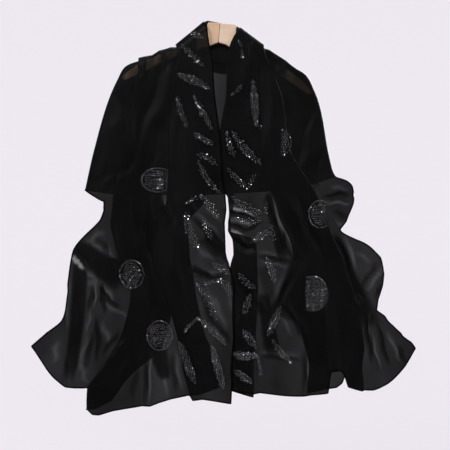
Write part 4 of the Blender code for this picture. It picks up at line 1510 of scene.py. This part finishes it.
@dataclass
class StoneSprays:
    """Rhinestones set in leaf and disc sprays on the layer of a front that shows."""

    name: str
    leaves: tuple[Leaf, ...]
    discs: tuple[Disc, ...]
    pitch: float = 2.45             # distance between neighbours, in pixels of the picture
    stone: float = 1.1              # a stone's radius in millimetres
    sizes: Place = (0.85, 1.1)      # and the range of its sizes, in such radii
    stray: float = 0.25             # how far a stone strays from its place, in pixels
    table: float = 0.55             # its flat top's share of the radius
    height: float = 0.6             # its height in radii
    sunk: float = 0.15              # how deep its foot lies in the cloth, in radii
    corners: int = 6
    tilt: float = 0.2               # how far stones lean at random, in radians
    leaf_power: float = 0.6         # below 1, leaves are blunt
    leaf_edge: float = 0.3          # stones may stand this far outside a leaf's edge, in pitches
    rim_share: float = 0.8          # how close stones sit along a disc's rim, in pitches
    rim_inset: float = 0.8          # and how far inside it the lattice ends
    half_lines: int = 12            # the lattice's lines on either side of its middle
    seed: int = 4

    def places(self) -> Array:
        """Every stone's place in the picture."""
        return np.concatenate([*map(self.leaf, self.leaves), *map(self.disc, self.discs)])

    def leaf(self, leaf: Leaf) -> Array:
        """Stones on a staggered lattice along the leaf's axis.

        Half the leaf's width at a share of its length is half its greatest width times the sine
        of a half turn, to a power, and its middle line bows as a parabola.

        Args:
            leaf: The spray.

        Returns:
            Places in the picture.
        """
        run = np.array([leaf.x_end - leaf.x, leaf.y_end - leaf.y])
        length = float(np.linalg.norm(run))
        ahead = run / length
        aside = np.array([-ahead[1], ahead[0]])
        columns = np.arange(0.0, length + 0.01, LATTICE_ROW * self.pitch)
        lines = np.arange(-self.half_lines, self.half_lines + 1)
        far, line = np.meshgrid(columns, lines, indexing="ij")
        away = (line + 0.5 * (np.arange(len(columns)) % 2)[:, None]) * self.pitch
        share = np.clip(far / length, 0.0, 1.0)
        half_width = 0.5 * leaf.width * np.sin(math.pi * share) ** self.leaf_power
        inside = np.abs(away) <= half_width + self.leaf_edge * self.pitch
        away = away + 4.0 * leaf.bow * share * (1.0 - share)
        points = np.array([leaf.x, leaf.y]) + far[..., None] * ahead + away[..., None] * aside
        return points[inside]

    def disc(self, disc: Disc) -> Array:
        """Stones on a staggered lattice in an oval with a close rim, between two upright lines.

        Args:
            disc: The spray.

        Returns:
            Places in the picture.
        """
        lines = np.arange(-self.half_lines, self.half_lines + 1)
        row, column = np.meshgrid(lines, lines, indexing="ij")
        x, y = (column + 0.5 * (row % 2)) * self.pitch, row * LATTICE_ROW * self.pitch
        inset = self.rim_inset * self.pitch
        inside = np.hypot(x / (disc.radius - inset), y / (disc.height - inset)) < 1.0
        count = int(2.0 * math.pi * disc.radius / (self.rim_share * self.pitch))
        turn = 2.0 * math.pi * np.arange(count) / count
        points = np.concatenate([
            np.stack([x[inside], y[inside]], axis=1),
            np.stack([disc.radius * np.cos(turn), disc.height * np.sin(turn)], axis=1),
        ]) + (disc.x, disc.y)
        return points[(points[:, 0] > disc.left) & (points[:, 0] < disc.right)]

    def build(self, cloth: Object, material: Material) -> Object:
        """One mesh of all the stones, each standing on the cloth along its normal.

        A stone is a ring of corners on the cloth and a smaller ring above it: its points are the
        place plus the two directions in the cloth times the ring, plus the normal times height.

        Args:
            cloth: The shell that the stones are set on.
            material: Their finish.

        Returns:
            The piece.
        """
        tree = BVHTree.FromObject(cloth, bpy.context.evaluated_depsgraph_get())
        chance = np.random.default_rng(self.seed)
        places = self.places()
        across, drop = from_picture(*(places + chance.normal(scale=self.stray, size=places.shape)).T)
        hits = [
            tree.ray_cast((x * MM, -1.0, -z * MM), (0.0, 1.0, 0.0)) for x, z in zip(across, drop)
        ]
        found = [hit for hit in hits if hit[0] is not None]
        spot = np.array([hit[0] for hit in found])
        normal = np.array([hit[1] for hit in found])
        normal *= np.where(normal[:, 1:2] > 0, -1.0, 1.0)
        normal = unit(normal + chance.normal(scale=self.tilt, size=normal.shape))
        sideways = unit(np.cross(normal, (0.0, 0.0, 1.0)))
        upward = np.cross(sideways, normal)
        turn = 2.0 * math.pi * np.arange(self.corners) / self.corners
        ring = np.stack([np.cos(turn), np.sin(turn)])
        size = self.stone * MM * chance.uniform(*self.sizes, size=(len(spot), 1, 1))
        flat = sideways[:, None] * ring[0][None, :, None] + upward[:, None] * ring[1][None, :, None]
        foot = spot[:, None] + size * (flat - self.sunk * normal[:, None])
        crown = spot[:, None] + size * (self.table * flat + self.height * normal[:, None])
        points = np.concatenate([foot, crown], axis=1)
        first = np.arange(self.corners)
        after = np.roll(first, -1)
        quads = np.stack([first, after, after + self.corners, first + self.corners], axis=1)
        faces = [list(first[::-1]), list(first + self.corners), *quads.tolist()]
        start = np.arange(len(spot))[:, None] * 2 * self.corners
        every = [block for face in faces for block in (start + np.array(face)[None]).tolist()]
        return make_object(self.name, points.reshape(-1, 3), every, material)


class Lamp(NamedTuple):
    """A soft square light: its place and size in metres, its power in watts and its colour."""

    name: str
    place: tuple[float, float, float]
    size: float
    power: float
    colour: tuple[float, float, float]


LAMPS = rows_of(Lamp, (
    ("key", (-1.6, -2.9, 1.9), 1.3, 165.0, (1.0, 0.98, 0.97)),
    ("fill", (2.7, -2.3, 0.5), 1.9, 50.0, (0.97, 0.97, 1.0)),
    ("top", (0.2, 0.4, 2.3), 1.6, 60.0, (1.0, 1.0, 1.0)),
    ("behind", (1.4, 3.0, 0.9), 1.6, 90.0, (1.0, 1.0, 1.0)),
))


@dataclass
class Studio:
    """A pale round studio with soft lights, and the camera in front of the shawl."""

    centre_drop: float = 444.4      # the picture's middle, below the origin
    centre_x: float = 6.6
    camera_distance: float = 3.4
    sensor: float = 36.0
    floor_drop: float = 1650.0
    wall_radius: float = 5.6
    cove_radius: float = 1.2
    wall_height: float = 4.6
    sides: int = 96
    cove_points: int = 13
    hub: float = 0.01               # the profile starts this far from the turning axis
    air: tuple = (0.8, 0.8, 0.82, 1.0)
    air_strength: float = 0.3

    def cove(self, finish: StudioFinish) -> Object:
        """The floor, a quarter-round cove and the wall, as one profile turned about Z.

        Args:
            finish: The paper's finish.

        Returns:
            The piece.
        """
        turn = np.linspace(0.0, 0.5 * math.pi, self.cove_points)
        flat = self.wall_radius - self.cove_radius
        rounded = flat + self.cove_radius * np.sin(turn)
        rising = self.cove_radius * (1.0 - np.cos(turn))
        radius = np.concatenate([[self.hub, 0.5 * flat], rounded, [self.wall_radius]])
        height = np.concatenate([[0.0, 0.0], rising, [self.wall_height]]) - self.floor_drop * MM
        around = np.linspace(0.0, 2.0 * math.pi, self.sides + 1)
        points = np.stack([
            radius[:, None] * np.cos(around)[None], radius[:, None] * np.sin(around)[None],
            np.broadcast_to(height[:, None], (len(radius), len(around))),
        ], axis=-1)
        faces = grid_faces(len(radius), len(around), Facing.TURNED)
        piece = make_object("studio", points.reshape(-1, 3), faces.tolist(), finish.build())
        piece.data.shade_smooth()
        return piece

    def light(self, lamp: Lamp) -> None:
        """Hang a lamp that faces the shawl's middle and doesn't show itself."""
        light = bpy.data.lights.new(lamp.name, "AREA")
        light.shape, light.size, light.energy, light.color = "SQUARE", lamp.size, lamp.power, lamp.colour
        holder = bpy.data.objects.new(lamp.name, light)
        holder.location = lamp.place
        aim = np.array([0.0, 0.0, -self.centre_drop * MM]) - np.array(lamp.place)
        flat = math.hypot(aim[0], aim[1])
        holder.rotation_euler = (math.atan2(flat, -aim[2]), 0.0, math.atan2(-aim[0], aim[1]))
        holder.visible_camera = False
        bpy.context.scene.collection.objects.link(holder)

    def camera(self) -> None:
        """A long lens, level with the picture's middle, that takes in the picture's width."""
        width = PICTURE_SIZE * PIXEL * MM
        lens = bpy.data.cameras.new("camera")
        lens.sensor_width = self.sensor
        lens.lens = self.sensor * self.camera_distance / width
        holder = bpy.data.objects.new("camera", lens)
        holder.location = (
            self.centre_x * MM, -self.camera_distance - FRONT_DEPTH * MM, -self.centre_drop * MM,
        )
        holder.rotation_euler = (0.5 * math.pi, 0.0, 0.0)
        bpy.context.scene.collection.objects.link(holder)
        bpy.context.scene.camera = holder

    def build(self) -> None:
        """Set up the studio, its world, lights and camera."""
        self.cove(StudioFinish("studio_paper"))
        world = bpy.data.worlds.new("studio_air")
        world.use_nodes = True
        background = world.node_tree.nodes["Background"]
        Finish.connect(world.node_tree, background, {"Color": self.air, "Strength": self.air_strength})
        bpy.context.scene.world = world
        bpy.context.scene.view_settings.view_transform = "Standard"
        for lamp in LAMPS:
            self.light(lamp)
        self.camera()


def dress_hanger() -> None:
    """Give the hanger's two halves, which keep their CAD meshes, their wood."""
    finishes = {
        # Lit and shaded copies of one beech: the right half is painted paler and yellower than the left.
        "hanger_left": WoodFinish(
            "beech_left", early=(0.42, 0.29, 0.19), late=(0.355, 0.235, 0.15), turn=-0.5,
        ),
        "hanger_right": WoodFinish(
            "beech_right", early=(0.475, 0.363, 0.278), late=(0.418, 0.296, 0.21), turn=0.6,
        ),
    }
    for node, finish in finishes.items():
        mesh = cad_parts[node].data
        mesh.materials.clear()
        mesh.materials.append(finish.build())
        LOG.info("dressed %s", node)


def finish_piece(piece: Object, slot: str, *replaced: str) -> None:
    """Ride a piece on the part's body.

    Args:
        piece: The piece.
        slot: Its finish's slot; not used.
        replaced: The CAD nodes that it stands for, or none.
    """
    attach(piece, "root")
    if replaced:
        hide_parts(*replaced)
    LOG.info("built %s: %d faces", piece.name, len(piece.data.polygons))


def main() -> None:
    """Build the shawl piece by piece, dress the hanger, and set up the studio."""
    logging.basicConfig(level=logging.INFO, format="%(message)s")
    Studio().build()
    chiffon = ChiffonFinish("chiffon").build()
    rolled = ChiffonFinish("chiffon_hem", sheer=False, gloss=0.0, sheen=0.0).build()
    crystal = StoneFinish("crystal").build()
    left = Front("left_front", Side.LEFT, LEFT_SECTIONS, LEFT_LAYERS, LEFT_HEM, LEFT_EDGES,
                 LEFT_RISES, LEFT_TUCKS, Facing.TURNED).build(chiffon, rolled)
    right = Front("right_front", Side.RIGHT, RIGHT_SECTIONS, RIGHT_LAYERS, RIGHT_HEM, RIGHT_EDGES,
                  RIGHT_RISES, RIGHT_TUCKS, Facing.AS_LAID).build(chiffon, rolled)
    back = Back().build(left.shape, right.shape, chiffon, rolled)
    collar = Collar().build(left.shape, right.shape, chiffon)
    stones_left = StoneSprays("stones_left", LEFT_LEAVES, LEFT_DISCS).build(left.shell, crystal)
    stones_right = StoneSprays("stones_right", RIGHT_LEAVES, RIGHT_DISCS, seed=9)
    stones_right = stones_right.build(right.shell, crystal)
    for piece, node in ((left.shell, "front_left"), (right.shell, "front_right"),
                        (back.shell, "back"), (collar, "collar")):
        piece.visible_shadow = False    # chiffon lets most lamp light through to the wood behind it
        finish_piece(piece, "chiffon", node)
    for piece in (left.hem, right.hem, back.hem):
        finish_piece(piece, "chiffon")
    for piece in (stones_left, stones_right):
        finish_piece(piece, "rhinestone")
    dress_hanger()


if __name__ == "__main__":
    main()
